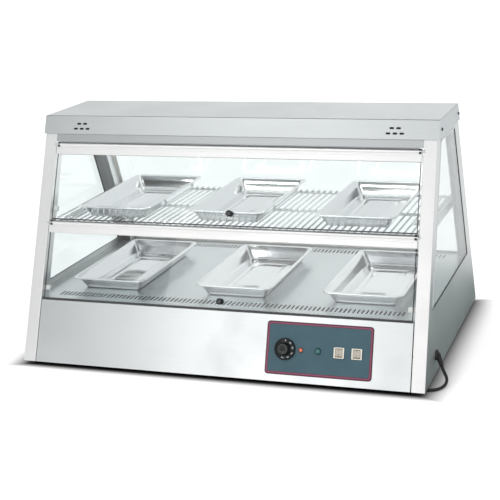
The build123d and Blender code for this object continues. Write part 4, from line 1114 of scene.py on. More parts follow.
@dataclass
class Flap:
    """One lift-up flap: extruded rail, pane, knob and the buffers that it rests on."""

    name: str
    knob_x: float
    knob_above_edge: float
    axis: float = field(init=False)
    reach: float = field(init=False)
    rail_half: float = 0.4166
    setback: float = 4.0 * MM
    pane_half: float = 2.0 * MM
    bead: float = 5.0
    bead_arc: float = 300.0
    bead_steps: int = 20
    band_bottom: float = 22.0 * MM
    facing_down: float = 0.6
    bushing_radius: float = 6.0 * MM
    bushing_width: float = 4.6 * MM
    bushing_reach: float = 0.6 * MM
    bushing_edge: float = 0.4 * MM
    web_height: float = 2.0 * MM
    web_overlap: float = 0.1 * MM
    web_out: Point2 = (-1.2 * MM, 0.3 * MM)
    # Dark strips along the pane: the glass edge's dark look, with painted shade of the gap at it.
    edging_half: float = 2.2 * MM
    edging_below: float = 1.3 * MM
    edging_above: float = 1.2 * MM
    edging_side: float = 0.8 * MM
    # A dark strip over the bead: painted shade of the gap under the cap's rail.
    header_shade_strip: bool = False
    header_gap: float = 0.6 * MM
    header_slope: Point2 = (5.3 * MM, 7.0 * MM)
    header_out: Point2 = (-9.0 * MM, 0.0)

    def __post_init__(self) -> None:
        """Works out where the hinge is, and how far the pane reaches below it."""
        body = f"{self.name}_flap"
        hinge = next(joint for joint in frame["joints"] if joint["child"] == body)
        self.axis = SLOPE.up_to(hinge["pos_m"])
        pane = frame["nodes"][f"{body}_glass"].data.vertices
        self.reach = self.axis - min(SLOPE.up_to(vertex.co) for vertex in pane)

    def build(self) -> None:
        """Builds the flap's pieces."""
        body = f"{self.name}_flap"
        rail = made(
            f"{body}_rail_soft", self.rail(), RAIL_ALUMINIUM, body, "aluminium_rail",
            angle=30.0, node=f"{body}_rail",
        )
        self.painted_light_band_edge(rail)
        made(
            f"{body}_knob_turned", self.knob(), KNOB_BLACK, body, "black_plastic",
            angle=50.0, node=f"{body}_knob",
        )
        made(f"{body}_knob_cap", self.knob_cap(), KNOB_CAP, body, "black_plastic", angle=50.0)
        ends = softened(f"{body}_ends", width=0.3 * MM)
        settle_piece(ends, RAIL_ALUMINIUM, body, "aluminium_rail")
        self.bushings(body)
        self.dark_edges(body)
        stops = softened(f"{body}_stops", width=1.6 * MM)
        settle_piece(stops, WHITE_RUBBER, "case", "white_rubber")
        dress_nodes(PANE, f"{body}_glass")

    def rail_outline(self) -> list[Point2]:
        """The rail's section, with the bead on top and the pane's slot below.

        Returns:
            (up the slope, outwards) points from the rail's axis.
        """
        points = []
        for i in range(self.bead_steps + 1):
            angle = math.radians(-self.bead_arc / 2 + self.bead_arc * i / self.bead_steps)
            points.append((self.bead * math.cos(angle), self.bead * math.sin(angle)))
        front = [
            (-6.5, 2.5), (-6.5, 4.0), (-6.9, 4.5), (-9.6, 4.5), (-9.9, 3.9), (-10.5, 3.9), (-10.8, 4.5),
            (-21.2, 4.5), (-22.0, 3.8), (-22.0, 2.0), (-10.0, 2.0),
        ]
        points += front
        points += [(u, -v) for u, v in reversed(front)]
        return in_mm(points)

    def painted_light_band_edge(self, rail: Piece) -> None:
        """Gives the faces that look down the slope a pale white finish: painted light that takes away
        the shade of the band's underside.

        Args:
            rail: the finished rail.
        """
        # Pale white on the band's downward faces: painted light.
        rail.data.materials.append(WHITE_RUBBER.build())
        down = SLOPE.place(0.0, 0.0).to_3x3() @ Vector((0.0, -1.0, 0.0))
        for face in rail.data.polygons:
            if face.normal.dot(down) > self.facing_down:
                face.material_index = 1

    def rail(self) -> Shape:
        """The rail, extruded across the flap.

        Returns:
            The closed shape as a bmesh.
        """
        loops = []
        for x in (-self.rail_half, self.rail_half):
            place = SLOPE.place(x, self.axis, -self.setback)
            loops.append([place @ Vector((0.0, u, v)) for u, v in self.rail_outline()])
        return loft(loops, True, True)

    def bar(self, x: Point2, slope: Point2, out: Point2) -> Shape:
        """A straight strip on the front, between two values of each local axis.

        Args:
            x: its left and right ends.
            slope: its lower and upper edges, from the rail's axis.
            out: its back and its face, outwards from the sheet's face.

        Returns:
            The closed shape as a bmesh.
        """
        loops = []
        for end in x:
            place = SLOPE.place(end, self.axis, 0.0)
            corners = ((slope[0], out[0]), (slope[1], out[0]), (slope[1], out[1]), (slope[0], out[1]))
            loops.append([place @ Vector((0.0, u, v)) for u, v in corners])
        return loft(loops, True, True)

    def dark_edges(self, body: str) -> None:
        """Thin dark strips along the pane's bottom and sides, the glass edge's dark look with painted
        shade of the gap at it, and any dark strip over the flap as painted shade of the gap above the
        bead.

        Args:
            body: the flap's body.
        """
        low, high, half = -self.reach, -self.band_bottom, self.rail_half
        upright = (low + self.edging_above, high)
        out = (-self.setback - self.edging_half, -self.setback + self.edging_half)
        strips = {
            "bottom": ((-half, half), (low - self.edging_below, low + self.edging_above)),
            "left": ((-half, -half + self.edging_side), upright),
            "right": ((half - self.edging_side, half), upright),
        }
        for name, (x, slope) in strips.items():
            made(f"{body}_seal_{name}", self.bar(x, slope, out), EDGE_SHADE_GREY, body, "black_rubber")
        if self.header_shade_strip:
            clear = half - self.bushing_width - self.header_gap
            strip = self.bar((-clear, clear), self.header_slope, self.header_out)
            made(f"{body}_seal_header", strip, GREY_PLASTIC, "case", "black_rubber")

    def bushings(self, body: str) -> None:
        """A black bushing on each end of the bead, split by a pale web in front.

        Args:
            body: the flap's body.
        """
        radius, edge = self.bushing_radius, self.bushing_edge
        turn = SLOPE.place(0.0, self.axis, -self.setback) @ rotation(90, "Y")
        front = -self.setback + radius
        slope = (-self.web_height / 2, self.web_height / 2)
        for name, side in SIDES:
            inner, outer = sorted((
                side * (self.rail_half - self.bushing_width),
                side * (self.rail_half + self.bushing_reach),
            ))
            profile = (
                (0.0, inner), (radius - edge, inner), (radius, inner + edge), (radius, outer - edge),
                (radius - edge, outer), (0.0, outer),
            )
            ring = lathe(profile, turn, segments=32)
            made(f"{body}_bushing_{name}", ring, BLACK_PLASTIC, body, "black_plastic")
            out = (front + self.web_out[0], front + self.web_out[1])
            web = self.bar((inner - self.web_overlap, outer), slope, out)
            made(f"{body}_web_{name}", web, RAIL_ALUMINIUM, body, "aluminium_rail")

    def knob_place(self) -> Matrix:
        """Where the knob stands on the pane's outer face."""
        slope = self.axis - self.reach + self.knob_above_edge
        return SLOPE.place(self.knob_x, slope, -self.setback + self.pane_half)

    def knob(self) -> Shape:
        """The turned knob with its stud and its washer behind the pane."""
        profile = (
            (0.0, -7.0), (5.4, -7.0), (6.2, -6.2), (6.2, -4.0), (3.0, -4.0), (3.0, 0.0), (5.4, 0.0),
            (5.8, 0.5), (5.8, 2.2), (5.5, 3.1), (5.0, 3.8), (4.8, 4.8), (5.1, 5.8), (6.1, 6.6),
            (6.6, 7.0), (6.8, 7.6), (6.8, 8.4), (6.4, 8.9), (5.4, 9.1), (0.0, 9.1),
        )
        return lathe(in_mm(profile), self.knob_place(), segments=56)

    def knob_cap(self) -> Shape:
        """The domed metal cap in the knob's face."""
        profile = ((0.0, 9.0), (4.4, 9.0), (4.4, 9.3), (3.8, 9.6), (2.4, 9.7), (0.0, 9.7))
        return lathe(in_mm(profile), self.knob_place(), segments=40)


@dataclass
class Tray:
    """One pressed tray with a rolled rim, leaning walls and a stepped panel in its floor."""

    name: str
    x: float
    y: float
    base: float
    width: float = 176.0
    depth: float = 318.0
    height: float = 28.0
    corner: float = 17.0
    rim: float = 7.0
    taper: float = math.tan(math.radians(28.0))
    floor_edge: float = 25.4
    panel_foot: Point2 = (45.9, 59.9)
    panel_top: Point2 = (59.9, 85.9)
    sheet: float = 0.7

    def wall(self, z: float) -> float:
        """How far the wall's inner skin lies inside the rim's lip at a height."""
        return self.rim + self.sheet / math.cos(math.atan(self.taper)) + (self.height - z) * self.taper

    def sections(self) -> list[tuple[float, float, float, float]]:
        """The outlines that the tray is pressed to, from the lip inwards.

        Returns:
            (inset at the sides, inset at the ends, height, corner radius) rows in mm.
        """
        lip = (
            (0.5, 25.3), (0.1, 25.7), (0.0, 26.4), (0.3, 27.3), (1.0, 27.9), (1.9, 28.0), (5.6, 27.9),
            (6.8, 27.5), (7.7, 26.7),
        )
        rows = [(inset, inset, z, self.corner - inset) for inset, z in lip]
        for z in (25.6, 15.0, 4.2):
            rows.append((self.wall(z), self.wall(z), z, 8.2))
        for inset, z in ((21.8, 2.4), (22.8, 1.3), (24.0, 0.9), (self.floor_edge, 0.8)):
            rows.append((inset, inset, z, 7.4))
        foot, top = self.panel_foot, self.panel_top
        for step, z in ((-1.8, 0.8), (-0.9, 1.3), (0.0, 1.5), (0.9, 1.2)):
            rows.append((foot[0] + step, foot[1] + step, z, 7.0))
        for step, z in ((-0.9, 2.2), (0.0, 2.75), (0.9, 2.7), (1.8, 2.3)):
            rows.append((top[0] + step, top[1] + step, z, 6.0))
        return rows

    def build(self) -> None:
        """Builds the tray from rounded loops and gives it its sheet thickness."""
        loops = []
        for side, end, height, radius in self.sections():
            outline = rounded_outline(
                (self.width / 2 - side) * MM, (self.depth / 2 - end) * MM, radius * MM, steps=8
            )
            z = self.base + height * MM
            loops.append([Vector((self.x + x, self.y + y, z)) for x, y in outline])
        tray = piece_from_bmesh(f"{self.name}_pressed", loft(loops, False, True), angle=60.0)
        if tray.data.polygons[-1].normal.z < 0:
            tray.data.flip_normals()
        wall = tray.modifiers.new("sheet", "SOLIDIFY")
        wall.thickness = self.sheet * MM
        wall.offset = -1.0
        settled(tray)
        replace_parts(tray, self.name)
        settle_piece(tray, TRAY_STEEL, self.name, "polished_stainless")


@dataclass
class Rack:
    """The wire shelf: wires from front to back on three cross wires."""

    half: float = 0.418
    depth: float = 0.340
    top: float = 0.298
    wire: float = 2.0 * MM
    cross_wire: float = 3.0 * MM
    count: int = 57
    weld: float = 0.4 * MM
    cross_inset: float = 4.0 * MM
    dome: float = 0.6
    dome_steps: int = 3

    def rod(self, name: str, radius: float, length: float, place: Matrix, sides: int) -> Piece:
        """A rod with rounded ends.

        Args:
            name: the rod's name.
            radius: its radius.
            length: its length.
            place: axes with the rod's middle at their origin and the rod along local Z.
            sides: faces round it.

        Returns:
            The rod as a piece.
        """
        half = length / 2
        profile = [(0.0, -half)]
        for i in range(1, self.dome_steps + 1):
            angle = math.pi / 2 * i / self.dome_steps
            rise = radius * self.dome * (1 - math.cos(angle))
            profile.append((radius * math.sin(angle), -half + rise))
        profile += [(r, -h) for r, h in reversed(profile)]
        return piece_from_bmesh(name, lathe(profile, place, sides), angle=60.0)

    def build(self) -> None:
        """Builds the wires in a row, and the cross wires under them."""
        span = 2 * (self.half - self.wire)
        wire = self.rod("wire", self.wire, self.depth, rotation(90, "X"), sides=12)
        wires = repeated(
            "rack_wires", ROW, wire, WIRE_CHROME, Matrix(),
            Count=self.count,
            Start=(-span / 2, 0.0, self.top - self.wire),
            Step=(span / (self.count - 1), 0.0, 0.0),
        )
        low = self.top - 2 * self.wire + self.weld - self.cross_wire
        reach = self.depth / 2 - self.cross_inset
        cross = self.rod("cross", self.cross_wire, 2 * self.half, rotation(90, "Y"), sides=20)
        cross_wires = repeated(
            "rack_cross_wires", ROW, cross, WIRE_CHROME, Matrix(),
            Count=3,
            Start=(0.0, -reach, low),
            Step=(0.0, reach, 0.0),
        )
        for piece in (wires, cross_wires):
            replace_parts(piece, "wire_rack")
            settle_piece(piece, WIRE_CHROME, "rack", "chromed_wire")


@dataclass
class ControlPanel:
    """The dark plate with its lines, dial, pilot lamps and rocker switches."""

    left: float = 0.1123
    width: float = 0.2277
    height: float = 0.1087
    centre_level: float = 0.064
    controls_level: float = 0.062
    corner: float = 0.007
    plate: float = 1.0 * MM
    line_inset: float = 0.3 * MM
    line_foot: float = -0.05 * MM
    line_top: float = 0.06 * MM
    line_corner: float = 0.6
    dial_x: float = 0.154
    dial_gap: float = 0.6 * MM
    dial_numbers: tuple[str, ...] = ("0", "30", "50", "70", "90", "110")
    first_number: float = 86.0
    number_step: float = -37.0
    number_size: float = 4.6 * MM
    number_radius: float = 17.4 * MM
    number_height: float = 4.05 * MM
    number_weight: float = 0.06 * MM
    number_relief: float = 0.05 * MM
    flutes: int = 24
    flute_radius: float = 12.0 * MM
    lamp_tail: float = -21.0
    lamp_rim: float = 1.0
    switch_x: Point2 = (0.2693, 0.3069)
    rocker_pivot: float = -0.8 * MM
    rocker_face: float = 3.6
    rocker_tilt: float = 8.0
    mark_lift: float = 0.02
    mark_reach: float = 4.6

    def build(self) -> None:
        """Builds the panel's pieces."""
        plate = softened("control_plate", width=0.25 * MM)
        settle_piece(plate, PANEL_TEAL, "case", "control_teal")
        self.lines()
        self.dial()
        self.lamps()
        self.switches()
        dress_nodes(GREY_PLASTIC, "thermostat")
        dress_nodes(SCREW_STEEL, "thermostat_spindle", "thermostat_bulb")

    def place(self, x: float, out: float) -> Matrix:
        """Local axes at the level of the controls."""
        return SLOPE.place(x, SLOPE.along(self.controls_level), out)

    def lines(self) -> None:
        """The border: four thin raised strips, one inside the other."""
        place = SLOPE.place(self.left + self.width / 2, SLOPE.along(self.centre_level), self.plate)
        inset = self.line_inset
        for name, wide, finish in (
            ("edge", 1.6 * MM, LINE_DARK),
            ("outer", 1.9 * MM, LINE_CRIMSON),
            # The middle strip is a painted highlight along the crimson border.
            ("middle", 0.8 * MM, LINE_PINK_HIGHLIGHT),
            ("inner", 1.7 * MM, LINE_DARK_CRIMSON),
        ):
            loops = []
            foot, top = self.line_foot, self.line_top
            for extra, z in ((0.0, foot), (0.0, top), (wide, top), (wide, foot)):
                total = inset + extra
                loops.append(outline_at(
                    place, self.width / 2 - total, self.height / 2 - total,
                    self.corner - total * self.line_corner, z,
                ))
            strip = loft(loops, False, False, closed=True)
            made(f"control_line_{name}", strip, finish, "case", "control_teal")
            inset += wide

    def dial(self) -> None:
        """The thermostat's dial: a wide skirt with numbers, and a fluted grip with a ringed face."""
        place = self.place(self.dial_x, self.plate + self.dial_gap)
        profile = (
            (0.0, 0.0), (22.0, 0.0), (22.5, 0.5), (22.5, 2.6), (22.0, 3.5), (21.0, 4.0), (13.6, 4.0),
            (12.9, 4.4), (12.4, 5.2), (12.2, 8.0), (11.9, 15.6), (11.4, 16.7), (10.4, 17.3), (7.6, 17.4),
            (7.2, 16.6), (6.6, 16.4), (6.2, 16.8), (4.0, 17.2), (0.0, 17.3),
        )
        knob = lathe(in_mm(profile), place, segments=72)
        made(
            "dial_turned", knob, KNOB_BLACK, "dial", "black_plastic", angle=30.0, node="thermostat_knob"
        )
        profile = ((0.0, 17.0), (9.6, 17.0), (9.6, 17.45), (8.6, 17.5), (8.5, 17.0), (0.0, 17.0))
        ring = lathe(in_mm(profile), place, segments=48)
        made("dial_face_ring", ring, MARK_GREY, "dial", "black_plastic")
        profile = ((0.0, 5.0), (0.8, 5.2), (0.7, 15.6), (0.0, 16.2))
        flute = piece_from_bmesh("flute", lathe(in_mm(profile), Matrix(), segments=8))
        flutes = repeated(
            "dial_flutes", RING, flute, KNOB_BLACK, place,
            Count=self.flutes, Radius=self.flute_radius, Start=0.0, Step=math.radians(360 / self.flutes),
        )
        settle_piece(flutes, KNOB_BLACK, "dial", "black_plastic")
        self.numbers(place)

    def numbers(self, place: Matrix) -> None:
        """Plain numbers round the right side of the dial's skirt.

        Args:
            place: the dial's own axes.
        """
        for i, value in enumerate(self.dial_numbers):
            angle = math.radians(self.first_number + i * self.number_step)
            curve = bpy.data.curves.new(f"dial_number_{i}", "FONT")
            curve.body = value
            curve.size = self.number_size
            curve.offset = self.number_weight
            curve.extrude = self.number_relief
            curve.align_x = "CENTER"
            curve.align_y = "CENTER"
            written = linked(f"dial_number_{i}_curve", curve)
            number = linked(f"dial_number_{i}", settled_mesh(written))
            bpy.data.objects.remove(written)
            x, y = self.number_radius * math.cos(angle), self.number_radius * math.sin(angle)
            spot = Matrix.Translation((x, y, self.number_height))
            turn = Matrix.Rotation(angle - math.pi / 2, 4, "Z")
            number.data.transform(place @ spot @ turn)
            settle_piece(number, MARK_WHITE, "dial", "black_plastic")

    def lamps(self) -> None:
        """The two pilot lamps, each a domed lens in a thin bezel."""
        for name, x, radius, finish, slot in (
            ("orange", 0.1881, 5.0, LENS_ORANGE, "orange_lens"),
            ("green", 0.2245, 7.0, LENS_GREEN, "green_lens"),
        ):
            place = self.place(x, self.plate)
            rim = radius - self.lamp_rim
            profile = (
                (0.0, self.lamp_tail), (rim, self.lamp_tail), (rim, 0.0), (rim, 1.0), (rim * 0.95, 1.7),
                (rim * 0.8, 2.3), (rim * 0.5, 2.8), (0.0, 3.0),
            )
            lens = lathe(in_mm(profile), place, segments=40)
            made(
                f"pilot_{name}_lens", lens, finish, "case", slot, angle=50.0, node=f"pilot_lamp_{name}"
            )
            profile = (
                (rim - 0.1, 0.0), (radius, 0.0), (radius, 0.7), (radius - 0.4, 1.1), (rim - 0.1, 1.2)
            )
            bezel = hoop(in_mm(profile), place, segments=40)
            made(f"pilot_{name}_bezel", bezel, KNOB_BLACK, "case", slot)

    def bezel(self, name: str, place: Matrix) -> None:
        """A rounded frame over a switch's housing.

        Args:
            name: the piece's name.
            place: local axes in the middle of the switch, on the plate's face.
        """
        sections = in_mm((
            (11.0, 11.0, 3.2, 0.02), (11.0, 11.0, 3.2, 1.5), (10.6, 10.6, 2.8, 2.0),
            (8.6, 9.6, 1.6, 2.1), (8.2, 9.2, 1.4, 1.85),
        ))
        loops = [outline_at(place, *section) for section in sections]
        made(name, loft(loops, False, False, closed=True), CREAM_PLASTIC, "case", "cream_plastic")

    def switches(self) -> None:
        """The housings and the rockers, with a small bar and ring moulded on each rocker."""
        for number, x in enumerate(self.switch_x, start=1):
            housing = softened(f"switch_housing_{number}", width=0.3 * MM)
            settle_piece(housing, ROCKER_BEIGE, "case", "cream_plastic")
            self.bezel(f"switch_bezel_{number}", self.place(x, self.plate))
            body = f"rocker_{number}"
            rocker = softened(f"switch_rocker_{number}", width=0.35 * MM)
            settle_piece(rocker, ROCKER_BEIGE, body, "cream_plastic")
            bar = rounded_slab(
                half_x=0.35 * MM, half_y=1.5 * MM, height=0.1 * MM, radius=0.2 * MM, edge=0.04 * MM,
                place=self.mark_place(x, 1),
            )
            made(f"{body}_bar", bar, MARK_GREY, body, "cream_plastic")
            profile = in_mm(((1.1, -0.05), (1.1, 0.1), (1.6, 0.1), (1.6, -0.05)))
            ring = hoop(profile, self.mark_place(x, -1), segments=28)
            made(f"{body}_ring", ring, MARK_GREY, body, "cream_plastic")

    def mark_place(self, x: float, side: int) -> Matrix:
        """Local axes on a rocker's face.

        Args:
            x: where the switch is.
            side: 1 on the rocker's upper half, -1 on its lower one.

        Returns:
            A matrix that lies on the tipped and bent face, in the rocker's place at rest.
        """
        rise = self.mark_reach * math.tan(math.radians(self.rocker_tilt))
        height = self.rocker_face + rise + self.mark_lift
        spot = Matrix.Translation((0, side * self.mark_reach * MM, height * MM))
        pivot = self.place(x, self.rocker_pivot) @ rotation(-self.rocker_tilt, "X")
        return pivot @ spot @ rotation(self.rocker_tilt * side, "X")


@dataclass
class Inside:
    """What is behind the glass and in the base: lamp, heaters, blocks."""

    tube_z: float = 0.4918
    tube_radius: float = 8.0 * MM
    tube_half: float = 0.350
    cap_length: float = 12.0 * MM
    cap_step: float = 0.3 * MM

    def build(self) -> None:
        """Dresses the inner pieces."""
        self.lamp()
        batten = softened("lamp_batten", width=0.4 * MM)
        settle_piece(batten, WHITE_ENAMEL, "case", "white_enamel")
        holders = softened("lamp_holders", width=0.8 * MM)
        settle_piece(holders, WHITE_PLASTIC, "case", "white_plastic")
        dress_nodes(WHITE_PLASTIC, "terminal_block")
        dress_nodes(HEATER_STEEL, "heater_left", "heater_right")

    def rod(self, radius: float, low: float, high: float) -> Shape:
        """A part of the tube.

        Args:
            radius: its radius.
            low: its left end, from the middle of the tube.
            high: its right end, from the middle of the tube.

        Returns:
            The closed shape as a bmesh.
        """
        place = Matrix.Translation((0, 0, self.tube_z)) @ rotation(90, "Y")
        profile = ((0.0, low), (radius, low), (radius, high), (0.0, high))
        return lathe(profile, place, segments=32)

    def lamp(self) -> None:
        """The tubular lamp with its metal end caps."""
        half, radius = self.tube_half, self.tube_radius
        inner = half - self.cap_length
        glass = self.rod(radius - self.cap_step, -inner, inner)
        made("lamp_glass_tube", glass, LAMP_OPAL, "case", "lamp_glass", node="lamp_tube")
        for name, side in SIDES:
            cap = self.rod(radius, *sorted((side * inner, side * half)))
            made(f"lamp_end_{name}", cap, RAIL_ALUMINIUM, "case", "lamp_glass")


@dataclass
class Mains:
    """The cord with its gland, its coil and its plug."""

    radius: float = 3.25 * MM
    boss: Vector = field(default_factory=lambda: Vector((0.454, -0.183, 0.046)))
    heading: Vector = field(default_factory=lambda: Vector((0.42, -0.62, -0.66)).normalized())
    wall_x: float = 0.450
    ribs: int = 7
    rib_start: float = 2.0
    rib_pitch: float = 3.2
    rib_width: float = 1.8
    rib_slope: float = 0.3
    rib_depth: float = 0.7
    rib_radius: float = 6.0
    rib_taper: float = 1.6
    pin_root: float = 67.5 * MM
    pin_spread: float = 7.9
    pin_turn: float = 30.0
    earth_height: float = 12.8
    corner_share: float = 0.98
    sleeve: float = 26.0 * MM
    lead: float = 12.0 * MM
    coil_centre: Point2 = (0.366, 0.368)
    coil_inner: float = 28.4 * MM
    coil_turns: float = 4.25
    pitch: float = 7.1 * MM
    climb_turns: float = 0.5
    steps: int = 16
    length: float = 1.73
    route: tuple[tuple[float, float, float], ...] = (
        (0.4808, -0.2226, 0.0122),
        (0.4804, -0.2430, 0.0063),
        (0.4682, -0.2600, 0.00325),
        (0.4484, -0.2673, 0.00325),
        (0.4276, -0.2620, 0.00325),
        (0.4137, -0.2457, 0.00325),
        (0.4109, -0.2202, 0.00325),
        (0.4205, -0.1840, 0.00325),
        (0.4300, -0.1300, 0.00325),
        (0.4340, -0.0600, 0.00325),
        (0.4330, 0.0200, 0.00325),
        (0.4285, 0.0950, 0.00325),
        (0.4210, 0.1650, 0.00325),
        (0.4130, 0.2320, 0.00325),
        (0.4095, 0.3000, 0.00325),
    )

    def tip(self) -> Vector:
        """Where the cord leaves the sleeve."""
        return self.boss + self.heading * self.sleeve

    def coil_point(self, turn: float, swell: float = 1.0) -> Vector:
        """A point of the coil after this many turns, spiralling in and then out on top.

        Args:
            turn: turns from the coil's start.
            swell: what the radius is multiplied by.

        Returns:
            The point.
        """
        middle = self.coil_turns / 2
        radius = (self.coil_inner + self.pitch * abs(turn - middle)) * swell
        climb = min(max((turn - middle) / self.climb_turns + 0.5, 0.0), 1.0)
        rise = self.pitch * (1 - math.cos(math.pi * climb)) / 2
        angle = 2 * math.pi * turn
        x, y = self.coil_centre
        return Vector((x + radius * math.cos(angle), y + radius * math.sin(angle), self.radius + rise))

    def end(self) -> tuple[Vector, Vector]:
        """Where the cord runs into its plug.

        Returns:
            The point and the heading there.
        """
        angle = 2 * math.pi * self.coil_turns
        heading = Vector((-math.sin(angle), math.cos(angle), 0.0))
        return self.coil_point(self.coil_turns) + heading * 2 * self.radius, heading

    def control_points(self) -> list[Vector]:
        """The cord's whole route, coil included.

        Returns:
            The points that the cord's spline is drawn from.
        """
        points = [self.tip(), self.tip() + self.heading * self.lead]
        points += [Vector(point) for point in self.route]
        # A spline of order 3 runs inside its points: three quarters of the way to the middle
        # one of three and an eighth to each of the others, so the coil's points swell by that.
        swell = 1 / (0.75 + 0.25 * math.cos(2 * math.pi / self.steps))
        count = round(self.coil_turns * self.steps)
        points.append(self.coil_point(0.0) - Vector((0.0, 2 * self.radius, 0.0)))
        for i in range(count + 1):
            points.append(self.coil_point(i / self.steps, swell))
        points.append(self.end()[0])
        return points

    def build(self) -> None:
        gland = self.gland()
        plug = self.plug()
        cord = self.cord()

    def cord(self) -> Piece:
        """The cord as one smooth spline.

        Returns:
            The cord's piece.
        """
        curve = bpy.data.curves.new("mains_cord", "CURVE")
        curve.dimensions = "3D"
        spline = curve.splines.new("NURBS")
        points = self.control_points()
        spline.points.add(len(points) - 1)
        for target, point in zip(spline.points, points):
            target.co = (*point, 1.0)
        spline.order_u = 3
        spline.use_endpoint_u = True
        curve.bevel_depth = self.radius
        curve.bevel_resolution = 5
        curve.resolution_u = 8
        curve.use_fill_caps = True
        cord = linked("mains_cord", curve)
        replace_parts(cord, "power_cord", "cord_coil")
        return settle_piece(cord, CORD_BLACK, "case", "black_cord")

    def gland(self) -> Piece:
        """The gland: a flange on the wall, and a ribbed sleeve that tapers to the cord.

        Returns:
            The flange, which the sleeve hangs on.
        """
        wall = Matrix.Translation((self.wall_x, self.boss.y, self.boss.z)) @ rotation(90, "Y")
        profile = (
            (0.0, -6.2), (7.5, -6.2), (7.5, 0.0), (11.0, 0.0), (11.0, 2.6), (9.6, 4.0), (0.0, 4.0)
        )
        flange = made(
            "gland_flange", lathe(in_mm(profile), wall, segments=48), BLACK_PLASTIC, "case",
            "black_plastic", node="cord_gland",
        )
        axis = self.heading.to_track_quat("Z", "Y").to_matrix().to_4x4()
        place = Matrix.Translation(self.boss) @ axis
        sleeve = made(
            "gland_sleeve", lathe(in_mm(self.sleeve_profile()), place, segments=36),
            BLACK_RUBBER, "case", "black_plastic", angle=50.0,
        )
        sleeve.parent = flange
        sleeve.matrix_parent_inverse = Matrix.Identity(4)
        return flange

    def sleeve_profile(self) -> list[Point2]:
        """The section of the ribbed sleeve.

        Returns:
            (radius, distance from the gland) points in mm.
        """
        profile = [(0.0, -5.5), (3.2, -5.1), (5.2, -3.0), (self.rib_radius, 0.0)]
        tip = self.sleeve / MM
        for i in range(self.ribs):
            start = self.rib_start + i * self.rib_pitch
            crest = self.rib_radius - self.rib_taper * start / tip
            valley = crest - self.rib_depth
            crest_end = start + self.rib_width
            valley_end = start + self.rib_pitch - self.rib_slope
            profile += [(crest, start), (crest, crest_end)]
            profile += [(valley, crest_end + self.rib_slope), (valley, valley_end)]
        return profile + [(4.4, tip - 1.0), (4.2, tip), (0.0, tip)]

    def plug(self) -> list[Piece]:
        """The plug: a tapered sleeve, a soft body and three flat pins.

        Returns:
            The plug's pieces, body first.
        """
        start, heading = self.end()
        up = Vector((0.0, 0.0, 1.0))
        axis = axes(heading.cross(up), up, heading, start)
        sections = (
            (0.0, 4.2, 4.2, 4.1), (8.0, 4.4, 4.4, 4.3), (20.0, 5.0, 5.0, 4.9), (30.0, 5.6, 5.6, 5.5),
            (32.0, 8.5, 7.5, 5.0), (34.0, 12.0, 9.4, 5.0), (38.0, 13.6, 10.2, 5.0),
            (46.0, 13.2, 9.8, 5.0), (52.0, 12.6, 9.6, 5.0), (60.0, 13.6, 10.2, 5.0),
            (66.0, 14.0, 10.3, 5.0), (67.6, 13.6, 9.9, 5.0), (68.0, 13.0, 9.3, 4.6),
        )
        loops = []
        for along, half_x, half_y, radius in sections:
            corner = min(radius, half_x, half_y) * MM * self.corner_share
            loops.append(outline_at(axis, half_x * MM, half_y * MM, corner, along * MM))
        body = made(
            "mains_plug_body", loft(loops, True, True), BLACK_RUBBER, "case", "black_cord",
            angle=50.0, node="power_plug",
        )
        pieces = [body]
        earth = -(start.z / MM - self.earth_height)
        spread, turn = self.pin_spread, self.pin_turn
        places = ((0.0, earth, 0.0), (-spread, 0.0, -turn), (spread, 0.0, turn))
        for number, (x, y, angle) in enumerate(places, start=1):
            spot = Matrix.Translation((x * MM, y * MM, self.pin_root))
            pin = rounded_slab(
                half_x=0.8 * MM, half_y=3.2 * MM, height=18.5 * MM, radius=0.3 * MM, edge=0.5 * MM,
                place=axis @ spot @ rotation(angle, "Z"),
            )
            pieces.append(made(f"mains_plug_pin_{number}", pin, BRASS, "case", "black_cord"))
        return pieces


# Studio


@dataclass(frozen=True)
class PhotoCamera:
    """The photograph's camera, from a fit to the corners of the case.

    Its focal length and its centre are in pixels of the square image.
    """

    azimuth: float = 18.4
    elevation: float = 11.7
    roll: float = -2.7
    distance: float = 2.6487
    target_x: float = 0.1161
    target_z: float = 0.4304
    focal: float = 1195.2
    centre_x: float = 300.0
    centre_y: float = 150.0
    image: float = 500.0
    sensor: float = 36.0

    def build(self) -> None:
        """Places the camera and makes it the scene's own."""
        turn, rise, roll = (math.radians(a) for a in (self.azimuth, self.elevation, self.roll))
        back = Vector(
            (math.sin(turn) * math.cos(rise), -math.cos(turn) * math.cos(rise), math.sin(rise))
        )
        right = (-back).cross(Vector((0, 0, 1))).normalized()
        up = right.cross(-back)
        rolled_right = right * math.cos(roll) + up * math.sin(roll)
        rolled_up = up * math.cos(roll) - right * math.sin(roll)
        position = Vector((self.target_x, 0.0, self.target_z)) + back * self.distance
        data = bpy.data.cameras.new("photo_camera")
        data.sensor_width = self.sensor
        data.lens = self.focal / self.image * self.sensor
        data.shift_x = (self.image / 2 - self.centre_x) / self.image
        data.shift_y = (self.centre_y - self.image / 2) / self.image
        camera = linked("photo_camera", data)
        camera.matrix_world = axes(rolled_right, rolled_up, back, position)
        bpy.context.scene.camera = camera


@dataclass(frozen=True)
class Softbox:
    """One rectangular studio lamp."""

    name: str
    position: Point3
    target: Point3
    size: Point2
    power: float
    colour: Colour = (1.0, 1.0, 1.0)
    in_metal: bool = True

    def build(self) -> None:
        """Hangs the lamp and points it at its target."""
        data = bpy.data.lights.new(self.name, "AREA")
        data.shape = "RECTANGLE"
        data.size, data.size_y = self.size
        data.energy = self.power
        data.color = self.colour
        lamp = linked(self.name, data)
        lamp.location = self.position
        aim = Vector(self.target) - Vector(self.position)
        lamp.rotation_euler = aim.to_track_quat("-Z", "Y").to_euler()
        lamp.visible_glossy = self.in_metal


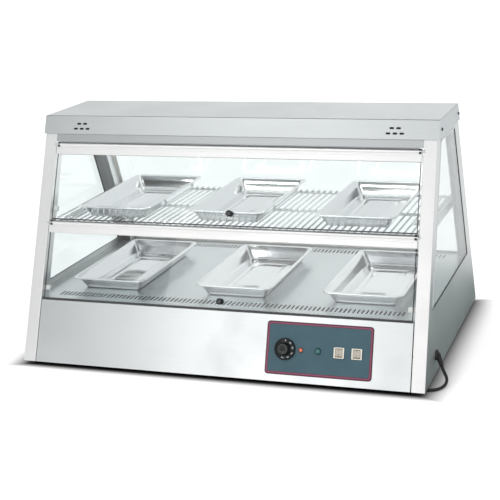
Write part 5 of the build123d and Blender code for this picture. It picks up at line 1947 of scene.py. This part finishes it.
SOFTBOXES = (
    Softbox(
        "softbox_front", position=(-0.78, -2.97, 1.05), target=(0.0, -0.29, 0.20), size=(1.2, 1.1),
        power=5.9, colour=(1.0, 0.955, 0.935),
    ),
    Softbox(
        "softbox_high", position=(-1.0, -2.1, 2.45), target=(0.0, 0.0, 0.20), size=(1.1, 0.8),
        power=4.5,
    ),
    Softbox(
        "softbox_over", position=(-0.5, -0.4, 2.8), target=(0.0, 0.0, 0.20), size=(2.0, 2.0),
        power=9.0, in_metal=False,
    ),
)


@dataclass
class Studio:
    """White floor and surroundings with large soft lamps.

    What metal reflects of the floor and of the surroundings has its own tones, because a
    white room alone would leave the steel without form. The two lifts are a distance from
    the case and the strength there. The pairs of the room are a direction's share along X
    and the strength there.
    """

    floor_size: float = 30.0
    floor_gap: float = 0.2 * MM
    floor_colour: Colour = (0.84, 0.84, 0.84)
    floor_shade: Colour = (0.02, 0.02, 0.02)
    # What metal sees of the floor near the case's right side is dark: a painted shadow of the case.
    floor_shadow_in_metal: Colour = (0.19, 0.235, 0.230)
    floor_far_in_metal: Colour = (0.83, 0.85, 0.85)
    metal_centre: Point3 = (0.52, 0.03, 0.0)
    metal_near: float = 0.34
    metal_far: float = 0.74
    shadow_half_width: float = 0.425
    shadow_half_depth: float = 0.288
    side_haste: float = 1.75
    front_haste: float = 5.0
    shade_start: float = -0.012
    shade_end: float = 0.15
    shade_end_in_metal: float = 0.0
    lift_near: Point2 = (0.02, 0.0)
    lift_far: Point2 = (0.16, 0.40)
    room_as_light: float = 0.92
    room_front_left: Point2 = (-0.5, 0.54)
    room_front_right: Point2 = (-0.2, 0.82)
    room_back_middle: Point2 = (-0.1, 0.96)
    room_back_right: Point2 = (0.3, 0.40)
    room_back_far_left: Point2 = (-0.55, 0.85)
    room_back_left: Point2 = (-0.2, 1.0)
    room_front_y: float = -0.5
    room_back_y: float = 0.5
    room_above: float = 0.06
    above_start: float = 0.66
    above_end: float = 0.88

    def build(self) -> None:
        """Builds the floor, the surroundings and the lamps."""
        self.floor()
        self.surroundings()
        for softbox in SOFTBOXES:
            softbox.build()
        bpy.context.scene.view_settings.view_transform = "Standard"

    def seen(self, tree: Tree, path: Node) -> Socket:
        """1 where the camera looks straight or through glass, else 0."""
        rays = path.outputs
        return computed(tree, "MAXIMUM", rays["Is Camera Ray"], rays["Is Transmission Ray"])

    def distance_from_case(self, tree: Tree, place: Socket) -> Socket:
        """How far a place on the floor lies outside the case, with each way's own haste.

        Args:
            tree: the floor's tree.
            place: the place on the floor.

        Returns:
            The socket of the distance.
        """
        split = add_node(tree, "ShaderNodeSeparateXYZ", {"Vector": place}).outputs
        past = []
        for axis, half, haste in (
            ("X", self.shadow_half_width, self.side_haste),
            ("Y", self.shadow_half_depth, self.front_haste),
        ):
            outside = computed(tree, "SUBTRACT", computed(tree, "ABSOLUTE", split[axis]), half)
            past.append(computed(tree, "MULTIPLY", outside, haste))
        return computed(tree, "MAXIMUM", *past)

    def floor(self) -> None:
        """A wide white floor with a painted shadow, dark close to the case, lifted to full white away
        from it.
        """
        shape = bmesh.new()
        bmesh.ops.create_grid(shape, x_segments=4, y_segments=4, size=self.floor_size)
        floor = piece_from_bmesh("studio_floor", shape)
        floor.data.transform(Matrix.Translation((0, 0, -self.floor_gap)))
        material = bpy.data.materials.new("studio_floor")
        material.use_nodes = True
        tree = material.node_tree
        tree.nodes.clear()
        path = tree.nodes.new("ShaderNodeLightPath")
        glossy = path.outputs["Is Glossy Ray"]
        place = tree.nodes.new("ShaderNodeTexCoord").outputs["Object"]
        from_side = add_node(
            tree, "ShaderNodeVectorMath", {0: place, 1: self.metal_centre}, operation="DISTANCE"
        ).outputs["Value"]
        far = ranged(tree, from_side, (self.metal_near, 0.0), (self.metal_far, 1.0))
        # Near the case's right side the floor that metal sees is dark: a painted shadow.
        in_metal = mixed(
            tree, far, opaque(self.floor_shadow_in_metal), opaque(self.floor_far_in_metal), "RGBA"
        )
        colour = mixed(tree, glossy, opaque(self.floor_colour), in_metal, "RGBA")
        distance = self.distance_from_case(tree, place)
        end = mixed(tree, glossy, self.shade_end, self.shade_end_in_metal)
        open_floor = ranged(tree, distance, (self.shade_start, 0.0), (end, 1.0))
        # Close to the case the floor takes floor_shade: a painted shadow.
        shaded = mixed(tree, open_floor, opaque(self.floor_shade), colour, "RGBA")
        paint = add_node(tree, "ShaderNodeBsdfDiffuse", {"Color": shaded})
        rise = ranged(tree, distance, self.lift_near, self.lift_far)
        strength = computed(tree, "MULTIPLY", self.seen(tree, path), rise)
        lift = add_node(tree, "ShaderNodeEmission", {"Strength": strength})
        both = add_node(tree, "ShaderNodeAddShader", {
            0: paint.outputs["BSDF"], 1: lift.outputs["Emission"],
        })
        add_node(tree, "ShaderNodeOutputMaterial", {"Surface": both.outputs["Shader"]})
        floor.data.materials.append(material)

    def surroundings(self) -> None:
        """A white room: full white where seen, a little less as light, and graded for metal."""
        world = bpy.data.worlds.new("studio_world")
        bpy.context.scene.world = world
        world.use_nodes = True
        tree = world.node_tree
        path = tree.nodes.new("ShaderNodeLightPath")
        direction = tree.nodes.new("ShaderNodeTexCoord").outputs["Generated"]
        split = add_node(tree, "ShaderNodeSeparateXYZ", {"Vector": direction}).outputs
        back = computed(
            tree, "MULTIPLY",
            ranged(tree, split["X"], self.room_back_middle, self.room_back_right),
            ranged(tree, split["X"], self.room_back_far_left, self.room_back_left),
        )
        front = ranged(tree, split["X"], self.room_front_left, self.room_front_right)
        around = ranged(tree, split["Y"], (self.room_front_y, front), (self.room_back_y, back))
        above = ranged(tree, split["Z"], (self.above_start, 0.0), (self.above_end, 1.0))
        in_metal = mixed(tree, above, around, self.room_above)
        as_light = mixed(tree, path.outputs["Is Glossy Ray"], self.room_as_light, in_metal)
        feed(tree, tree.nodes["Background"], {
            "Color": (1.0, 1.0, 1.0, 1.0), "Strength": mixed(tree, self.seen(tree, path), as_light, 1.0),
        })


# Level, the trays' places across, their place in depth, and the height they stand at.
TRAY_ROWS = (
    ("lower", (-0.291, 0.006, 0.295), -0.019, 0.1365),
    ("upper", (-0.275, -0.008, 0.280), 0.0, 0.2983),
)


def main() -> None:
    """Builds the looks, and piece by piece."""
    logging.basicConfig(level=logging.INFO, format="%(message)s")
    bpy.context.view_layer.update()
    PhotoCamera().build()
    Mains().build()
    Cabinet().build()
    Flap("upper", knob_x=0.009, knob_above_edge=0.026, header_shade_strip=True).build()
    Flap("lower", knob_x=0.0025, knob_above_edge=0.016).build()
    for level, row, y, base in TRAY_ROWS:
        for number, x in enumerate(row, start=1):
            Tray(f"{level}_tray_{number}", x, y, base).build()
    Rack().build()
    ControlPanel().build()
    Inside().build()
    Studio().build()


if __name__ == "__main__":
    main()
